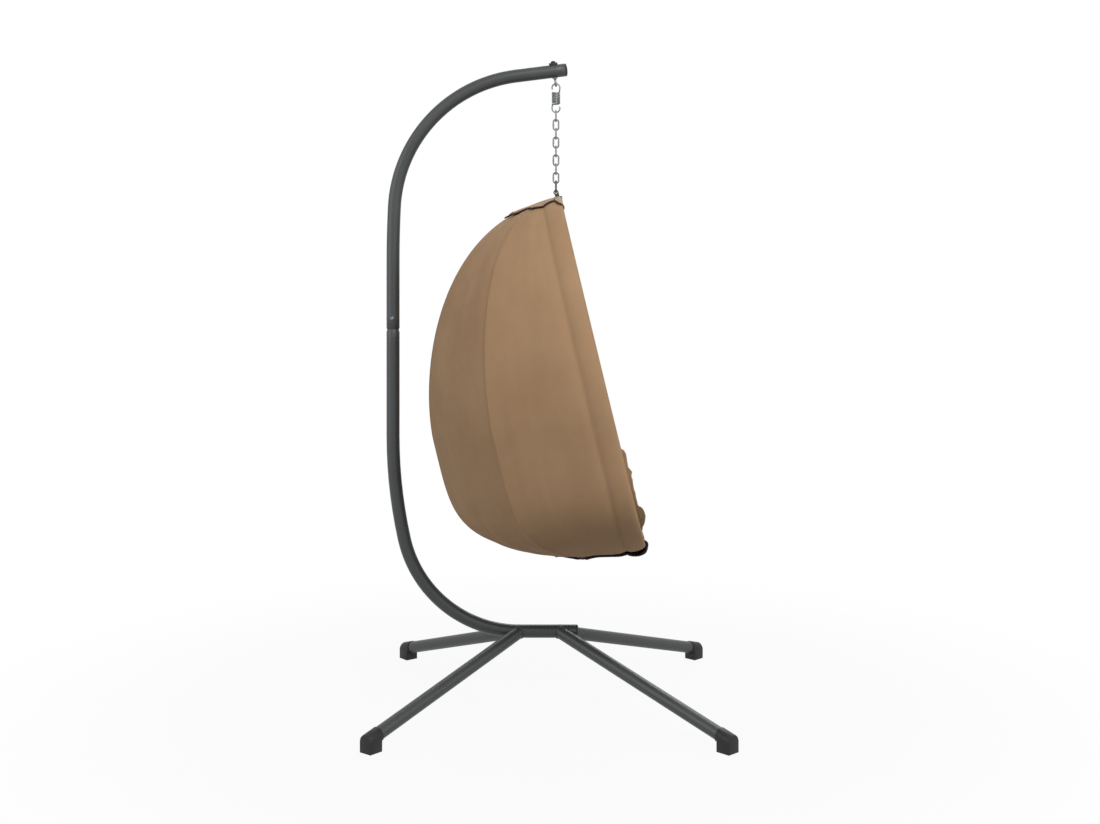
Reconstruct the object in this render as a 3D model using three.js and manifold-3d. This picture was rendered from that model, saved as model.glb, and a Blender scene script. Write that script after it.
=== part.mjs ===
// A pod chair that hangs by a spring and a chain from a curved steel stand.
// Millimetres, +Z up. The chair faces -Y and is alike on both sides of X = 0.
// The origin lies on the floor, under the middle of the four feet.

import * as THREE from 'three';
import { mergeVertices } from 'three/addons/utils/BufferGeometryUtils.js';
import Module from 'manifold-3d';

const wasm = await Module();
wasm.setup();

const radians = THREE.MathUtils.degToRad;

// Clearances
const seatGap = 0.3;
const cutOverrun = 6;
const weldTolerance = 0.0005;

// Stand tube: a lower J and an upper arm, joined by a swaged spigot
const tubeRadius = 20;
const tubeWall = 2;
const tubeSides = 18;
const boreSides = 10;
const mastBack = 483;
const baseHeight = 211;
const baseFront = 80;
const lowBendRadius = 362;
const lowBendTurn = radians( 77.5 );
const lowEaseRadius = 1455;
const lowEaseTurn = radians( 90 ) - lowBendTurn;
const seamHeight = 1139.6;
const neckHeight = 9.5;
const neckInset = 1.5;
const spigotLength = 70;
const spigotRoot = 15;
const spigotWall = 2.2;
const armEaseHeight = 1342;
const armEaseRadius = 3569;
const armEaseTurn = radians( 2.7 );
const armBendRadius = 427;
const armBendTurn = radians( 80.1 );
const armStraightLength = 153;

// Mast bolt, through the upper tube and the spigot
const mastBoltRise = 31;
const boltRadius = 4;
const boltHeadRadius = 6.6;
const boltHeadHeight = 4;
const boltTail = 3;
const nutAcross = 13;
const nutHeight = 6.5;
const roundSides = 12;

// End plugs
const plugInsert = 14;
const plugEdge = 1.2;
const plugDome = 5;

// Legs and foot caps
const legRadius = 19;
const legWall = 1.6;
const rearLegRoot = 92;
const frontLegRoot = -24;
const footSide = 495;
const footReach = 501;
const footAxisHeight = 29;
const footWall = 2;
const footEndWall = 5;
const footLength = 52;
const footBlockLength = 44;

// Eye bolt with its saddle and nut
const hangSetback = 35;
const eyeDrop = 35;
const eyeRadius = 10;
const eyeWire = 7;
const eyeSides = 8;
const eyeSteps = 20;
const eyeNeckOverlap = 2;
const eyeBoltRadius = 4;
const collarRadius = 8;
const collarHeight = 3;
const saddleLength = 26;
const saddleWidth = 24;
const saddleHeight = 4;
const eyeNutAcross = 13;
const eyeNutHeight = 5;
const eyeBoltTail = 2;

// Spring
const springWire = 4.3;
const springRadius = 11.3;
const springPitch = 4.95;
const springTurns = 7.5;
const springSides = 5;
const springStepsPerTurn = 8;
const hookRadius = 12;
const hookSideSteps = 4;
const hookTipSteps = 5;
const hookTipTurn = radians( 118 );
const hookNeck = 3.4;
const springNeckLean = springRadius / 3;
const gapSamplesPerStep = 4;

// Chain
const linkCount = 8;
const linkWire = 5;
const linkLength = 37.5;
const linkWidth = 21;
const linkSides = 8;
const linkArcSteps = 6;
const linkGap = 0.4;

// Loop between the chain and the pod
const loopWire = 6;
const loopLength = 40;
const loopWidth = 26;

// Pod: five half hoops that turn about one slanted axis, like a fan
const podLength = 1100;
const podTilt = radians( 13.7 );
const podRadius = 547;
const widestShare = 0.578;
const topDropPower = 1.65;
const topSwellPower = 2.32;
const lowDropPower = 4.6;
const lowSwellPower = 1.3;
const midTurn = radians( 52 );
const rimTurn = radians( 88.7 );
const hoopInset = 10.9;
const hoopRadius = 8;
const hoopWall = 1.2;
const hoopSides = 7;
const hoopBoreSides = 4;
const podSteps = 22;
const coverStart = 27;
const outlineDelta = 0.0004;
const outlineSamples = 40;

// Hubs and pivot pins
const tabReach = 66;
const tubeStart = 56;
const tabWidth = 14;
const tabThick = 2.5;
const tabGap = 0.35;
const tabSink = 1.5;
const tabArcSegments = 5;
const tabEyeRadius = 10;
const pinRadius = 4;
const pinHeadRadius = 7;
const pinHeadHeight = 3;
const pinSeatDepth = 6;
const hubRadius = 13;
const hubHeight = 9;
const lugForward = 6;
const lugRise = 16;
const lugRadius = 8;
const lugThick = 6;
const lugPlay = 1.3;
const tabPitch = tabThick + tabGap;
const stackHalf = 2 * tabPitch + tabThick / 2;

// Fabric cover
const clothThick = 1.4;
const coverInset = 1.4;
const coverColumns = 6;
const backSagShare = 0.05;
const frontSagShare = 0.03;
const capLift = 0.4;
const capRows = 2;

// Cushions
const backPlay = 1.3;
const seatPlay = 1.1;
const seatSeamShare = 0.9;
const seatRise = 48;
const seatDrop = 81;
const seatEdge = 14;
const seatFront = 22;
const seatRings = 7;
const seatSpokes = 28;
const seatFullness = 2.6;
const backTopShare = 0.46;
const wingTopShare = 0.665;
const backTurn = radians( 91 );
const backThick = 36;
const wingThick = 80;
const backEdgeThick = 20;
const backColumns = 22;
const backRows = 8;
const backFullness = 3;
const bisections = 30;
const restGap = 0.5;

// Materials
const steel = ( name ) => new THREE.MeshStandardMaterial(
	{ name, color: 0x4a4c4e, roughness: 0.42, metalness: 0.55 } );
const paintedSteel = steel( 'anthracite powder coat' );
const zincSteel = new THREE.MeshStandardMaterial(
	{ name: 'zinc plate', color: 0x8c8f91, roughness: 0.38, metalness: 0.9 } );
const darkSteel = new THREE.MeshStandardMaterial(
	{ name: 'dark loop steel', color: 0x464a48, roughness: 0.5, metalness: 0.8 } );
const blackPlastic = new THREE.MeshStandardMaterial(
	{ name: 'black plastic', color: 0x28282a, roughness: 0.6, metalness: 0 } );
const blackSteel = new THREE.MeshStandardMaterial(
	{ name: 'black painted steel', color: 0x242426, roughness: 0.5, metalness: 0.4 } );
const taupeCloth = new THREE.MeshStandardMaterial(
	{ name: 'taupe cloth', color: 0x9b7c5e, roughness: 0.95, metalness: 0 } );
const cushionCloth = new THREE.MeshStandardMaterial(
	{ name: 'cushion cloth', color: 0x8f7256, roughness: 0.95, metalness: 0 } );

const chair = new THREE.Group();

function addPiece( name, geometry, material, parent = chair ) {

	const mesh = new THREE.Mesh( geometry, material );
	mesh.name = name;
	parent.add( mesh );
	return mesh;

}

// Joining and cutting
function toSolid( geometry ) {

	const plain = geometry.clone();
	plain.deleteAttribute( 'normal' );
	plain.deleteAttribute( 'uv' );
	const merged = mergeVertices( plain, weldTolerance );
	return new wasm.Manifold( new wasm.Mesh( {
		numProp: 3,
		vertProperties: new Float32Array( merged.attributes.position.array ),
		triVerts: new Uint32Array( merged.index.array ),
	} ) );

}

function toGeometry( solid ) {

	const mesh = solid.getMesh();
	const geometry = new THREE.BufferGeometry();
	geometry.setAttribute( 'position', new THREE.BufferAttribute( mesh.vertProperties, mesh.numProp ) );
	geometry.setIndex( new THREE.BufferAttribute( mesh.triVerts, 1 ) );
	geometry.computeVertexNormals();
	return geometry;

}

function join( geometries ) {

	return toGeometry( geometries.map( toSolid ).reduce( ( whole, next ) => whole.add( next ) ) );

}

function cut( geometry, cutters ) {

	const whole = toSolid( geometry );
	return toGeometry( cutters.map( toSolid ).reduce( ( left, next ) => left.subtract( next ), whole ) );

}

function keepWithin( geometry, limit ) {

	return toGeometry( toSolid( geometry ).intersect( toSolid( limit ) ) );

}

// A cylinder between two points
function rod( from, to, radius, sides = roundSides ) {

	const geometry = new THREE.CylinderGeometry( radius, radius, from.distanceTo( to ), sides );
	geometry.rotateX( Math.PI / 2 );
	const turn = new THREE.Quaternion().setFromUnitVectors(
		new THREE.Vector3( 0, 0, 1 ), to.clone().sub( from ).normalize() );
	geometry.applyQuaternion( turn );
	const middle = from.clone().add( to ).multiplyScalar( 0.5 );
	geometry.translate( middle.x, middle.y, middle.z );
	return geometry;

}

function box( low, high ) {

	const geometry = new THREE.BoxGeometry( high.x - low.x, high.y - low.y, high.z - low.z );
	const middle = low.clone().add( high ).multiplyScalar( 0.5 );
	geometry.translate( middle.x, middle.y, middle.z );
	return geometry;

}

function roundShape( radius, sides ) {

	const points = [];
	for ( let i = 0; i < sides; i ++ ) {

		const turn = ( i + 0.5 ) / sides * 2 * Math.PI;
		points.push( new THREE.Vector2( radius * Math.cos( turn ), radius * Math.sin( turn ) ) );

	}

	return new THREE.Shape( points );

}

function tubeShape( outer, inner, sides, innerSides ) {

	const shape = roundShape( outer, sides );
	shape.holes.push( new THREE.Path( roundShape( inner, innerSides ).getPoints() ) );
	return shape;

}

// A path whose rings stand where its own parameter puts them, so that straight runs cost no rings
class StationPath extends THREE.Curve {

	getUtoTmapping( u ) {

		return u;

	}

}

// Straight runs and arcs in the plane X = 0, each piece with its own number of steps
class BentPath extends StationPath {

	constructor( startY, startZ, heading, pieces ) {

		super();
		this.runs = [];
		this.steps = 0;
		let y = startY;
		let z = startZ;
		let angle = heading;
		for ( const piece of pieces ) {

			const run = { y, z, angle, first: this.steps, turn: 0, ...piece };
			this.runs.push( run );
			this.steps += run.steps;
			const end = this.along( run, 1 );
			y = end.y;
			z = end.z;
			angle += run.turn;

		}

	}

	along( run, share ) {

		if ( run.turn === 0 ) {

			return new THREE.Vector3( 0,
				run.y + run.length * share * Math.cos( run.angle ),
				run.z + run.length * share * Math.sin( run.angle ) );

		}

		const angle = run.angle + run.turn * share;
		return new THREE.Vector3( 0,
			run.y + run.radius * ( Math.sin( angle ) - Math.sin( run.angle ) ),
			run.z - run.radius * ( Math.cos( angle ) - Math.cos( run.angle ) ) );

	}

	find( t ) {

		const station = t * this.steps;
		const run = this.runs.find( ( r ) => station <= r.first + r.steps ) || this.runs[ this.runs.length - 1 ];
		return { run, share: ( station - run.first ) / run.steps };

	}

	getPoint( t ) {

		const { run, share } = this.find( t );
		return this.along( run, share );

	}

	getTangent( t, target = new THREE.Vector3() ) {

		const { run, share } = this.find( t );
		const angle = run.angle + run.turn * share;
		return target.set( 0, Math.cos( angle ), Math.sin( angle ) );

	}

}

function sweep( path, shape, steps ) {

	return new THREE.ExtrudeGeometry( shape, { steps, extrudePath: path, bevelEnabled: false } );

}

// A ring swept along a closed path: the two lids of the sweep meet, so they are left out
function sweepClosed( path, shape, steps ) {

	const whole = sweep( path, shape, steps );
	const sides = whole.groups[ 1 ];
	const all = whole.attributes.position;
	const kept = all.array.slice( sides.start * all.itemSize, ( sides.start + sides.count ) * all.itemSize );
	const geometry = new THREE.BufferGeometry();
	geometry.setAttribute( 'position', new THREE.BufferAttribute( kept, all.itemSize ) );
	const closed = mergeVertices( geometry, weldTolerance );
	closed.computeVertexNormals();
	return closed;

}

// A flat-sided oval in the plane Y = 0, the centre line of a link
class OvalPath extends StationPath {

	constructor( length, width, arcSteps ) {

		super();
		this.radius = width / 2;
		this.half = ( length - width ) / 2;
		this.arcSteps = arcSteps;
		this.steps = 2 * ( arcSteps + 1 );

	}

	find( t ) {

		const station = ( t * this.steps ) % this.steps;
		const lower = station >= this.arcSteps + 1;
		const local = lower ? station - this.arcSteps - 1 : station;
		return { lower, local };

	}

	getPoint( t ) {

		const { lower, local } = this.find( t );
		const side = lower ? - 1 : 1;
		if ( local <= this.arcSteps ) {

			const turn = Math.PI * local / this.arcSteps;
			return new THREE.Vector3(
				side * this.radius * Math.cos( turn ), 0, side * ( this.half + this.radius * Math.sin( turn ) ) );

		}

		const down = local - this.arcSteps;
		return new THREE.Vector3( - side * this.radius, 0, side * this.half * ( 1 - 2 * down ) );

	}

	getTangent( t, target = new THREE.Vector3() ) {

		const { lower, local } = this.find( t );
		const side = lower ? - 1 : 1;
		const turn = Math.PI * Math.min( local, this.arcSteps ) / this.arcSteps;
		return target.set( - side * Math.sin( turn ), 0, side * Math.cos( turn ) );

	}

}

// Stand tubes
const lowBendRise = lowBendRadius * ( 1 - Math.cos( lowBendTurn ) );
const lowBendRun = lowBendRadius * Math.sin( lowBendTurn );
const lowEaseRun = lowEaseRadius * ( 1 - Math.sin( lowBendTurn ) );
const lowEaseRise = lowEaseRadius * Math.cos( lowBendTurn );
const baseStraight = mastBack + baseFront - lowBendRun - lowEaseRun;
const shoulderHeight = seamHeight - neckHeight;
const mastStraight = shoulderHeight - baseHeight - lowBendRise - lowEaseRise;

const lowPath = new BentPath( - baseFront, baseHeight, 0, [
	{ length: baseStraight, steps: 1 },
	{ radius: lowBendRadius, turn: lowBendTurn, steps: 12 },
	{ radius: lowEaseRadius, turn: lowEaseTurn, steps: 3 },
	{ length: mastStraight, steps: 1 },
] );

const armPath = new BentPath( mastBack, seamHeight, Math.PI / 2, [
	{ length: armEaseHeight - seamHeight, steps: 1 },
	{ radius: armEaseRadius, turn: armEaseTurn, steps: 1 },
	{ radius: armBendRadius, turn: armBendTurn, steps: 14 },
	{ length: armStraightLength, steps: 1 },
] );

const armEnd = armPath.getPoint( 1 );
const armAhead = armPath.getTangent( 1 );
const armDown = new THREE.Vector3( 0, - armAhead.z, armAhead.y );
const hangPoint = armEnd.clone().addScaledVector( armAhead, - hangSetback );

const mastBoltHeight = seamHeight + mastBoltRise;
const mastBoltReach = tubeRadius + seatGap;
const boltHole = rod(
	new THREE.Vector3( - tubeRadius - cutOverrun, mastBack, mastBoltHeight ),
	new THREE.Vector3( tubeRadius + cutOverrun, mastBack, mastBoltHeight ),
	boltRadius + seatGap, roundSides );

function eyeBoltHole() {

	const reach = tubeRadius + cutOverrun;
	return rod(
		hangPoint.clone().addScaledVector( armDown, - reach ),
		hangPoint.clone().addScaledVector( armDown, reach ),
		eyeBoltRadius + seatGap );

}

const standTube = tubeShape( tubeRadius, tubeRadius - tubeWall, tubeSides, boreSides );

// The upper end of the lower tube is drawn down to a neck, and further to a spigot
function spigot() {

	const bore = ( tubeRadius - tubeWall ) * Math.cos( Math.PI / boreSides );
	const spigotRadius = bore - seatGap;
	const neckRadius = tubeRadius - neckInset;
	const inner = spigotRadius - spigotWall;
	const rootRadius = tubeRadius - tubeWall / 2;
	const low = shoulderHeight - spigotRoot;
	const high = seamHeight + spigotLength;
	const seam = seamHeight - seatGap;
	const profile = [
		[ inner, low ], [ rootRadius, low ], [ rootRadius, shoulderHeight - neckInset ],
		[ neckRadius, shoulderHeight ], [ neckRadius, seam ], [ spigotRadius, seam ],
		[ spigotRadius, high ], [ inner, high ], [ inner, low ],
	].map( ( [ radius, height ] ) => new THREE.Vector2( radius, height ) );
	const geometry = new THREE.LatheGeometry( profile, tubeSides );
	geometry.rotateX( Math.PI / 2 );
	geometry.translate( 0, mastBack, 0 );
	return geometry;

}

function lowerMast() {

	return cut( join( [ sweep( lowPath, standTube, lowPath.steps ), spigot() ] ), [ boltHole ] );

}

function upperArm() {

	return cut( sweep( armPath, standTube, armPath.steps ), [ boltHole, eyeBoltHole() ] );

}

// Domed plug for the open end of a tube, its dome towards +Z
function endPlug() {

	const insertRadius = ( tubeRadius - tubeWall ) * Math.cos( Math.PI / boreSides ) - seatGap;
	const profile = [ [ 0, - plugInsert ], [ insertRadius, - plugInsert ], [ insertRadius, seatGap ],
		[ tubeRadius, seatGap ], [ tubeRadius, seatGap + plugEdge ] ];
	const domeShares = [ 0.4, 0.72, 0.93 ];
	for ( const share of domeShares ) {

		profile.push( [ tubeRadius * Math.sqrt( 1 - share * share ), seatGap + plugEdge + plugDome * share ] );

	}

	profile.push( [ 0, seatGap + plugEdge + plugDome ] );
	const geometry = new THREE.LatheGeometry(
		profile.map( ( [ radius, height ] ) => new THREE.Vector2( radius, height ) ), tubeSides );
	geometry.rotateX( Math.PI / 2 );
	return geometry;

}

function placeAlong( mesh, point, direction ) {

	mesh.position.copy( point );
	mesh.quaternion.setFromUnitVectors( new THREE.Vector3( 0, 0, 1 ), direction );

}

addPiece( 'lower_mast', lowerMast(), paintedSteel );
addPiece( 'upper_arm', upperArm(), paintedSteel );
placeAlong( addPiece( 'arm_end_plug', endPlug(), blackPlastic ), armEnd, armAhead );
placeAlong( addPiece( 'base_end_plug', endPlug(), blackPlastic ),
	lowPath.getPoint( 0 ), lowPath.getTangent( 0 ).negate() );

// Bolt with a domed head, its head towards -Z and its shank towards +Z
function domedBolt( radius, headRadius, headHeight, length ) {

	const profile = [ [ 0, - headHeight ], [ headRadius * Math.SQRT1_2, - headHeight * Math.SQRT1_2 ],
		[ headRadius, 0 ], [ radius, 0 ], [ radius, length ], [ 0, length ] ];
	const geometry = new THREE.LatheGeometry(
		profile.map( ( [ r, z ] ) => new THREE.Vector2( r, z ) ), roundSides );
	geometry.rotateX( Math.PI / 2 );
	return geometry;

}

function hexNut( across, height, holeRadius ) {

	const corner = across / 2 / Math.cos( Math.PI / 6 );
	const shape = roundShape( corner, 6 );
	shape.holes.push( new THREE.Path( roundShape( holeRadius, roundSides ).getPoints() ) );
	return new THREE.ExtrudeGeometry( shape, { depth: height, bevelEnabled: false } );

}

const acrossMast = new THREE.Vector3( 1, 0, 0 );
const mastBoltLength = 2 * mastBoltReach + nutHeight + boltTail;
placeAlong( addPiece( 'mast_bolt',
	domedBolt( boltRadius, boltHeadRadius, boltHeadHeight, mastBoltLength ), zincSteel ),
new THREE.Vector3( - mastBoltReach, mastBack, mastBoltHeight ), acrossMast );
placeAlong( addPiece( 'mast_nut', hexNut( nutAcross, nutHeight, boltRadius + seatGap ), zincSteel ),
	new THREE.Vector3( mastBoltReach, mastBack, mastBoltHeight ), acrossMast );

// Legs: tubes whose inner ends are cut to fit against the base tube
function legEnds( side, rear ) {

	const root = new THREE.Vector3( 0, rear ? rearLegRoot : frontLegRoot, baseHeight );
	const foot = new THREE.Vector3( side * footSide, rear ? footReach : - footReach, footAxisHeight );
	const slope = ( root.z - foot.z ) / Math.hypot( foot.x - root.x, foot.y - root.y );
	const slant = Math.hypot( 1, slope );
	// How far short of the upright end the slanted bore stops, so that the end wall is whole
	const wallRun = footEndWall + ( legRadius + seatGap ) * slope / slant;
	return { root, foot, slope, slant, wallRun, ahead: foot.clone().sub( root ).normalize() };

}

function legTube( side, rear ) {

	const { root, foot, slant, wallRun, ahead } = legEnds( side, rear );
	const end = foot.clone().addScaledVector( ahead, - wallRun * slant - seatGap );
	const path = new THREE.LineCurve3( root, end );
	const tube = sweep( path, tubeShape( legRadius, legRadius - legWall, tubeSides, boreSides ), 1 );
	const seat = sweep( lowPath, roundShape( tubeRadius + seatGap, tubeSides ), lowPath.steps );
	const across = [ side * seatGap / 2, - side * 2 * legRadius ].sort( ( a, b ) => a - b );
	const otherSide = box(
		new THREE.Vector3( across[ 0 ], root.y - 2 * legRadius, root.z - 2 * legRadius ),
		new THREE.Vector3( across[ 1 ], root.y + 2 * legRadius, root.z + 2 * legRadius ) );
	return cut( tube, [ seat, otherSide ] );

}

// Foot cap: a sleeve round the leg, with a square block under it and an upright flat end
function footCap( side, rear ) {

	const { root, foot, slope, slant, wallRun } = legEnds( side, rear );
	const sleeveRadius = legRadius + seatGap + footWall;
	const heading = Math.atan2( foot.y - root.y, foot.x - root.x );
	const inner = new THREE.Vector3( - footLength / slant, 0, footAxisHeight + slope * footLength / slant );
	const beyond = new THREE.Vector3( cutOverrun, 0, footAxisHeight - slope * cutOverrun );
	const sleeve = rod( inner, beyond, sleeveRadius, tubeSides );
	const halfWide = sleeveRadius * Math.cos( Math.PI / tubeSides );
	const block = new THREE.Shape( [
		new THREE.Vector2( - footBlockLength, 0 ),
		new THREE.Vector2( 0, 0 ),
		new THREE.Vector2( 0, footAxisHeight ),
		new THREE.Vector2( - footBlockLength, footAxisHeight + slope * footBlockLength ),
	] );
	const blockSolid = new THREE.ExtrudeGeometry( block, { depth: 2 * halfWide, bevelEnabled: false } );
	blockSolid.rotateX( Math.PI / 2 );
	blockSolid.translate( 0, halfWide, 0 );
	const limit = box(
		new THREE.Vector3( - 2 * footLength, - 2 * sleeveRadius, 0 ),
		new THREE.Vector3( 0, 2 * sleeveRadius, 2 * footLength + footAxisHeight ) );
	const boreEnd = new THREE.Vector3( - wallRun, 0, footAxisHeight + slope * wallRun );
	const boreStart = new THREE.Vector3( - 2 * footLength, 0, footAxisHeight + slope * 2 * footLength );
	const bore = rod( boreStart, boreEnd, legRadius + seatGap, 2 * tubeSides );
	const cap = cut( keepWithin( join( [ sleeve, blockSolid ] ), limit ), [ bore ] );
	cap.rotateZ( heading );
	cap.translate( foot.x, foot.y, 0 );
	return cap;

}

const corners = [
	[ 'rear_left', - 1, true ], [ 'rear_right', 1, true ],
	[ 'front_left', - 1, false ], [ 'front_right', 1, false ],
];
for ( const [ corner, side, rear ] of corners ) {

	addPiece( `${ corner }_leg`, legTube( side, rear ), paintedSteel );
	addPiece( `${ corner }_foot`, footCap( side, rear ), blackPlastic );

}

// Eye bolt, square to the arm. It is made hanging down from the arm's centre line
const armTilt = Math.atan2( - armDown.y, - armDown.z );
const eyeGroup = new THREE.Group();
eyeGroup.position.copy( hangPoint );
eyeGroup.rotation.x = - armTilt;
chair.add( eyeGroup );

function eyeBolt() {

	const ring = new THREE.TorusGeometry( eyeRadius, eyeWire / 2, eyeSides, eyeSteps );
	ring.rotateX( Math.PI / 2 );
	ring.translate( 0, 0, - eyeDrop );
	const collarTop = - tubeRadius - seatGap;
	const top = tubeRadius + seatGap + saddleHeight + eyeNutHeight + eyeBoltTail + seatGap;
	const shankFoot = - eyeDrop + eyeRadius + eyeWire / 2 - eyeNeckOverlap;
	const shank = rod( new THREE.Vector3( 0, 0, shankFoot ), new THREE.Vector3( 0, 0, top ), eyeBoltRadius );
	const collar = rod(
		new THREE.Vector3( 0, 0, collarTop - collarHeight ),
		new THREE.Vector3( 0, 0, collarTop ), collarRadius );
	return join( [ ring, shank, collar ] );

}

function saddle() {

	const top = tubeRadius + seatGap + saddleHeight;
	const plate = box(
		new THREE.Vector3( - saddleWidth / 2, - saddleLength / 2, 0 ),
		new THREE.Vector3( saddleWidth / 2, saddleLength / 2, top ) );
	const skirt = saddleHeight;
	const limit = box(
		new THREE.Vector3( - saddleWidth, - saddleLength, tubeRadius - skirt ),
		new THREE.Vector3( saddleWidth, saddleLength, top + cutOverrun ) );
	const arm = rod(
		new THREE.Vector3( 0, - saddleLength, 0 ), new THREE.Vector3( 0, saddleLength, 0 ),
		tubeRadius + seatGap, 2 * tubeSides );
	const hole = rod(
		new THREE.Vector3( 0, 0, 0 ), new THREE.Vector3( 0, 0, top + cutOverrun ), eyeBoltRadius + seatGap );
	return cut( keepWithin( plate, limit ), [ arm, hole ] );

}

addPiece( 'eye_bolt', eyeBolt(), zincSteel, eyeGroup );
addPiece( 'arm_saddle', saddle(), blackPlastic, eyeGroup );
const eyeNut = addPiece( 'eye_nut', hexNut( eyeNutAcross, eyeNutHeight, eyeBoltRadius + seatGap ),
	blackPlastic, eyeGroup );
eyeNut.position.z = tubeRadius + seatGap + saddleHeight + seatGap;

// Everything below hangs from the lowest wire of the eye
const swingPoint = hangPoint.clone().addScaledVector( armDown, eyeDrop + eyeRadius );
const hanging = new THREE.Group();
hanging.position.copy( swingPoint );
chair.add( hanging );

// Spring: a hook, the coil and a second hook, one unbroken wire
const springTopWire = ( eyeWire + springWire ) / 2 + seatGap;
const upperHookCentre = springTopWire - hookRadius;
const coilTop = upperHookCentre - hookRadius - hookNeck + springWire / 2;
const coilBottom = coilTop - springTurns * springPitch;
const lowerHookCentre = coilBottom - hookRadius - hookNeck + springWire / 2;
const springLowWire = lowerHookCentre - hookRadius;

function springStations() {

	const stations = [];
	const hookTurns = [];
	for ( let i = 0; i < hookTipSteps; i ++ ) {

		hookTurns.push( - hookTipTurn * ( 1 - i / hookTipSteps ) );

	}

	for ( let i = 0; i <= hookSideSteps; i ++ ) {

		hookTurns.push( Math.PI / 2 * i / hookSideSteps );

	}

	for ( const turn of hookTurns ) {

		stations.push( new THREE.Vector3(
			0, - hookRadius * Math.sin( turn ), upperHookCentre + hookRadius * Math.cos( turn ) ) );

	}

	const neckShares = [ 0.45, 0.85 ];
	for ( const share of neckShares ) {

		stations.push( new THREE.Vector3(
			springNeckLean * share * share, - springRadius,
			upperHookCentre + ( coilTop - upperHookCentre ) * share ) );

	}

	const coilSteps = springTurns * springStepsPerTurn;
	for ( let i = 1; i < coilSteps; i ++ ) {

		const turn = i / springStepsPerTurn * 2 * Math.PI;
		stations.push( new THREE.Vector3(
			springRadius * Math.sin( turn ), - springRadius * Math.cos( turn ),
			coilTop - springPitch * i / springStepsPerTurn ) );

	}

	for ( const share of [ ...neckShares ].reverse() ) {

		stations.push( new THREE.Vector3(
			springNeckLean * share * share, springRadius,
			lowerHookCentre + ( coilBottom - lowerHookCentre ) * share ) );

	}

	for ( const turn of hookTurns.reverse() ) {

		stations.push( new THREE.Vector3(
			0, hookRadius * Math.sin( turn ), lowerHookCentre - hookRadius * Math.cos( turn ) ) );

	}

	return stations;

}

class WirePath extends StationPath {

	constructor( stations ) {

		super();
		this.stations = stations;
		this.curve = new THREE.CatmullRomCurve3( stations );

	}

	getPoint( t ) {

		return this.curve.getPoint( t );

	}

}

// Least distance between parts of the wire that aren't neighbours along it, less the wire
function leastGap( path, steps, wire ) {

	const count = steps * gapSamplesPerStep;
	const points = [];
	for ( let i = 0; i <= count; i ++ ) {

		points.push( path.getPoint( i / count ) );

	}

	const apart = gapSamplesPerStep * springStepsPerTurn / 2;
	let least = Infinity;
	for ( let i = 0; i < points.length; i ++ ) {

		for ( let k = i + apart; k < points.length; k ++ ) {

			least = Math.min( least, points[ i ].distanceTo( points[ k ] ) );

		}

	}

	return least - wire;

}

function spring() {

	const path = new WirePath( springStations() );
	const steps = path.stations.length - 1;
	console.log( `spring: least gap to itself ${ leastGap( path, steps, springWire ).toFixed( 2 ) } mm` );
	return sweep( path, roundShape( springWire / 2, springSides ), steps );

}

addPiece( 'spring', spring(), zincSteel, hanging );

// Chain: each link lies across the one above and hangs on its lowest wire
const linkPitch = linkLength - 2 * linkWire - linkGap;
const firstLink = springLowWire + springWire / 2 + linkGap + linkWire - linkLength / 2;

function chainLink() {

	const path = new OvalPath( linkLength - linkWire, linkWidth - linkWire, linkArcSteps );
	return sweepClosed( path, roundShape( linkWire / 2, linkSides ), path.steps );

}

for ( let i = 0; i < linkCount; i ++ ) {

	const link = addPiece( `chain_link_${ i + 1 }`, chainLink(), zincSteel, hanging );
	link.position.z = firstLink - i * linkPitch;
	link.rotation.z = i % 2 === 0 ? 0 : Math.PI / 2;

}

// Loop that carries the pod
const chainFoot = firstLink - ( linkCount - 1 ) * linkPitch - linkLength / 2;
const loopCentre = chainFoot + linkWire + linkGap + loopWire - loopLength / 2;

function hangerLoop() {

	const path = new OvalPath( loopLength - loopWire, loopWidth - loopWire, linkArcSteps );
	return sweepClosed( path, roundShape( loopWire / 2, linkSides ), path.steps );

}

addPiece( 'hanger_loop', hangerLoop(), darkSteel, hanging ).position.z = loopCentre;

// The pod's own frame: origin where its axis starts, +Z up along the axis, +Y to the rear
const nodPoint = loopCentre - ( loopLength - loopWire ) / 2;
const pod = new THREE.Group();
pod.position.set( 0, - lugForward, nodPoint - lugRise );
pod.rotation.x = - podTilt;
hanging.add( pod );

// Half the pod's outline: how far along the axis and how far out, by an angle from 0 to PI
function outline( angle ) {

	const low = angle > Math.PI / 2;
	const dropPower = low ? lowDropPower : topDropPower;
	const swellPower = low ? lowSwellPower : topSwellPower;
	const drop = Math.pow( Math.abs( Math.cos( angle ) ), 2 / dropPower );
	const share = low ? widestShare + ( 1 - widestShare ) * drop : widestShare * ( 1 - drop );
	return new THREE.Vector2( podRadius * Math.pow( Math.sin( angle ), 2 / swellPower ), - podLength * share );

}

// The same outline moved inwards by an inset
function insetOutline( angle, inset ) {

	const point = outline( angle );
	const along = outline( angle + outlineDelta ).sub( outline( angle - outlineDelta ) ).normalize();
	return new THREE.Vector2( point.x + along.y * inset, point.y - along.x * inset );

}

// The angle at which the outline has a given radius, on its upper or its lower half
function angleAt( radius, low ) {

	const power = low ? lowSwellPower : topSwellPower;
	const angle = Math.asin( Math.pow( radius / podRadius, power / 2 ) );
	return low ? Math.PI - angle : angle;

}

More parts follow.
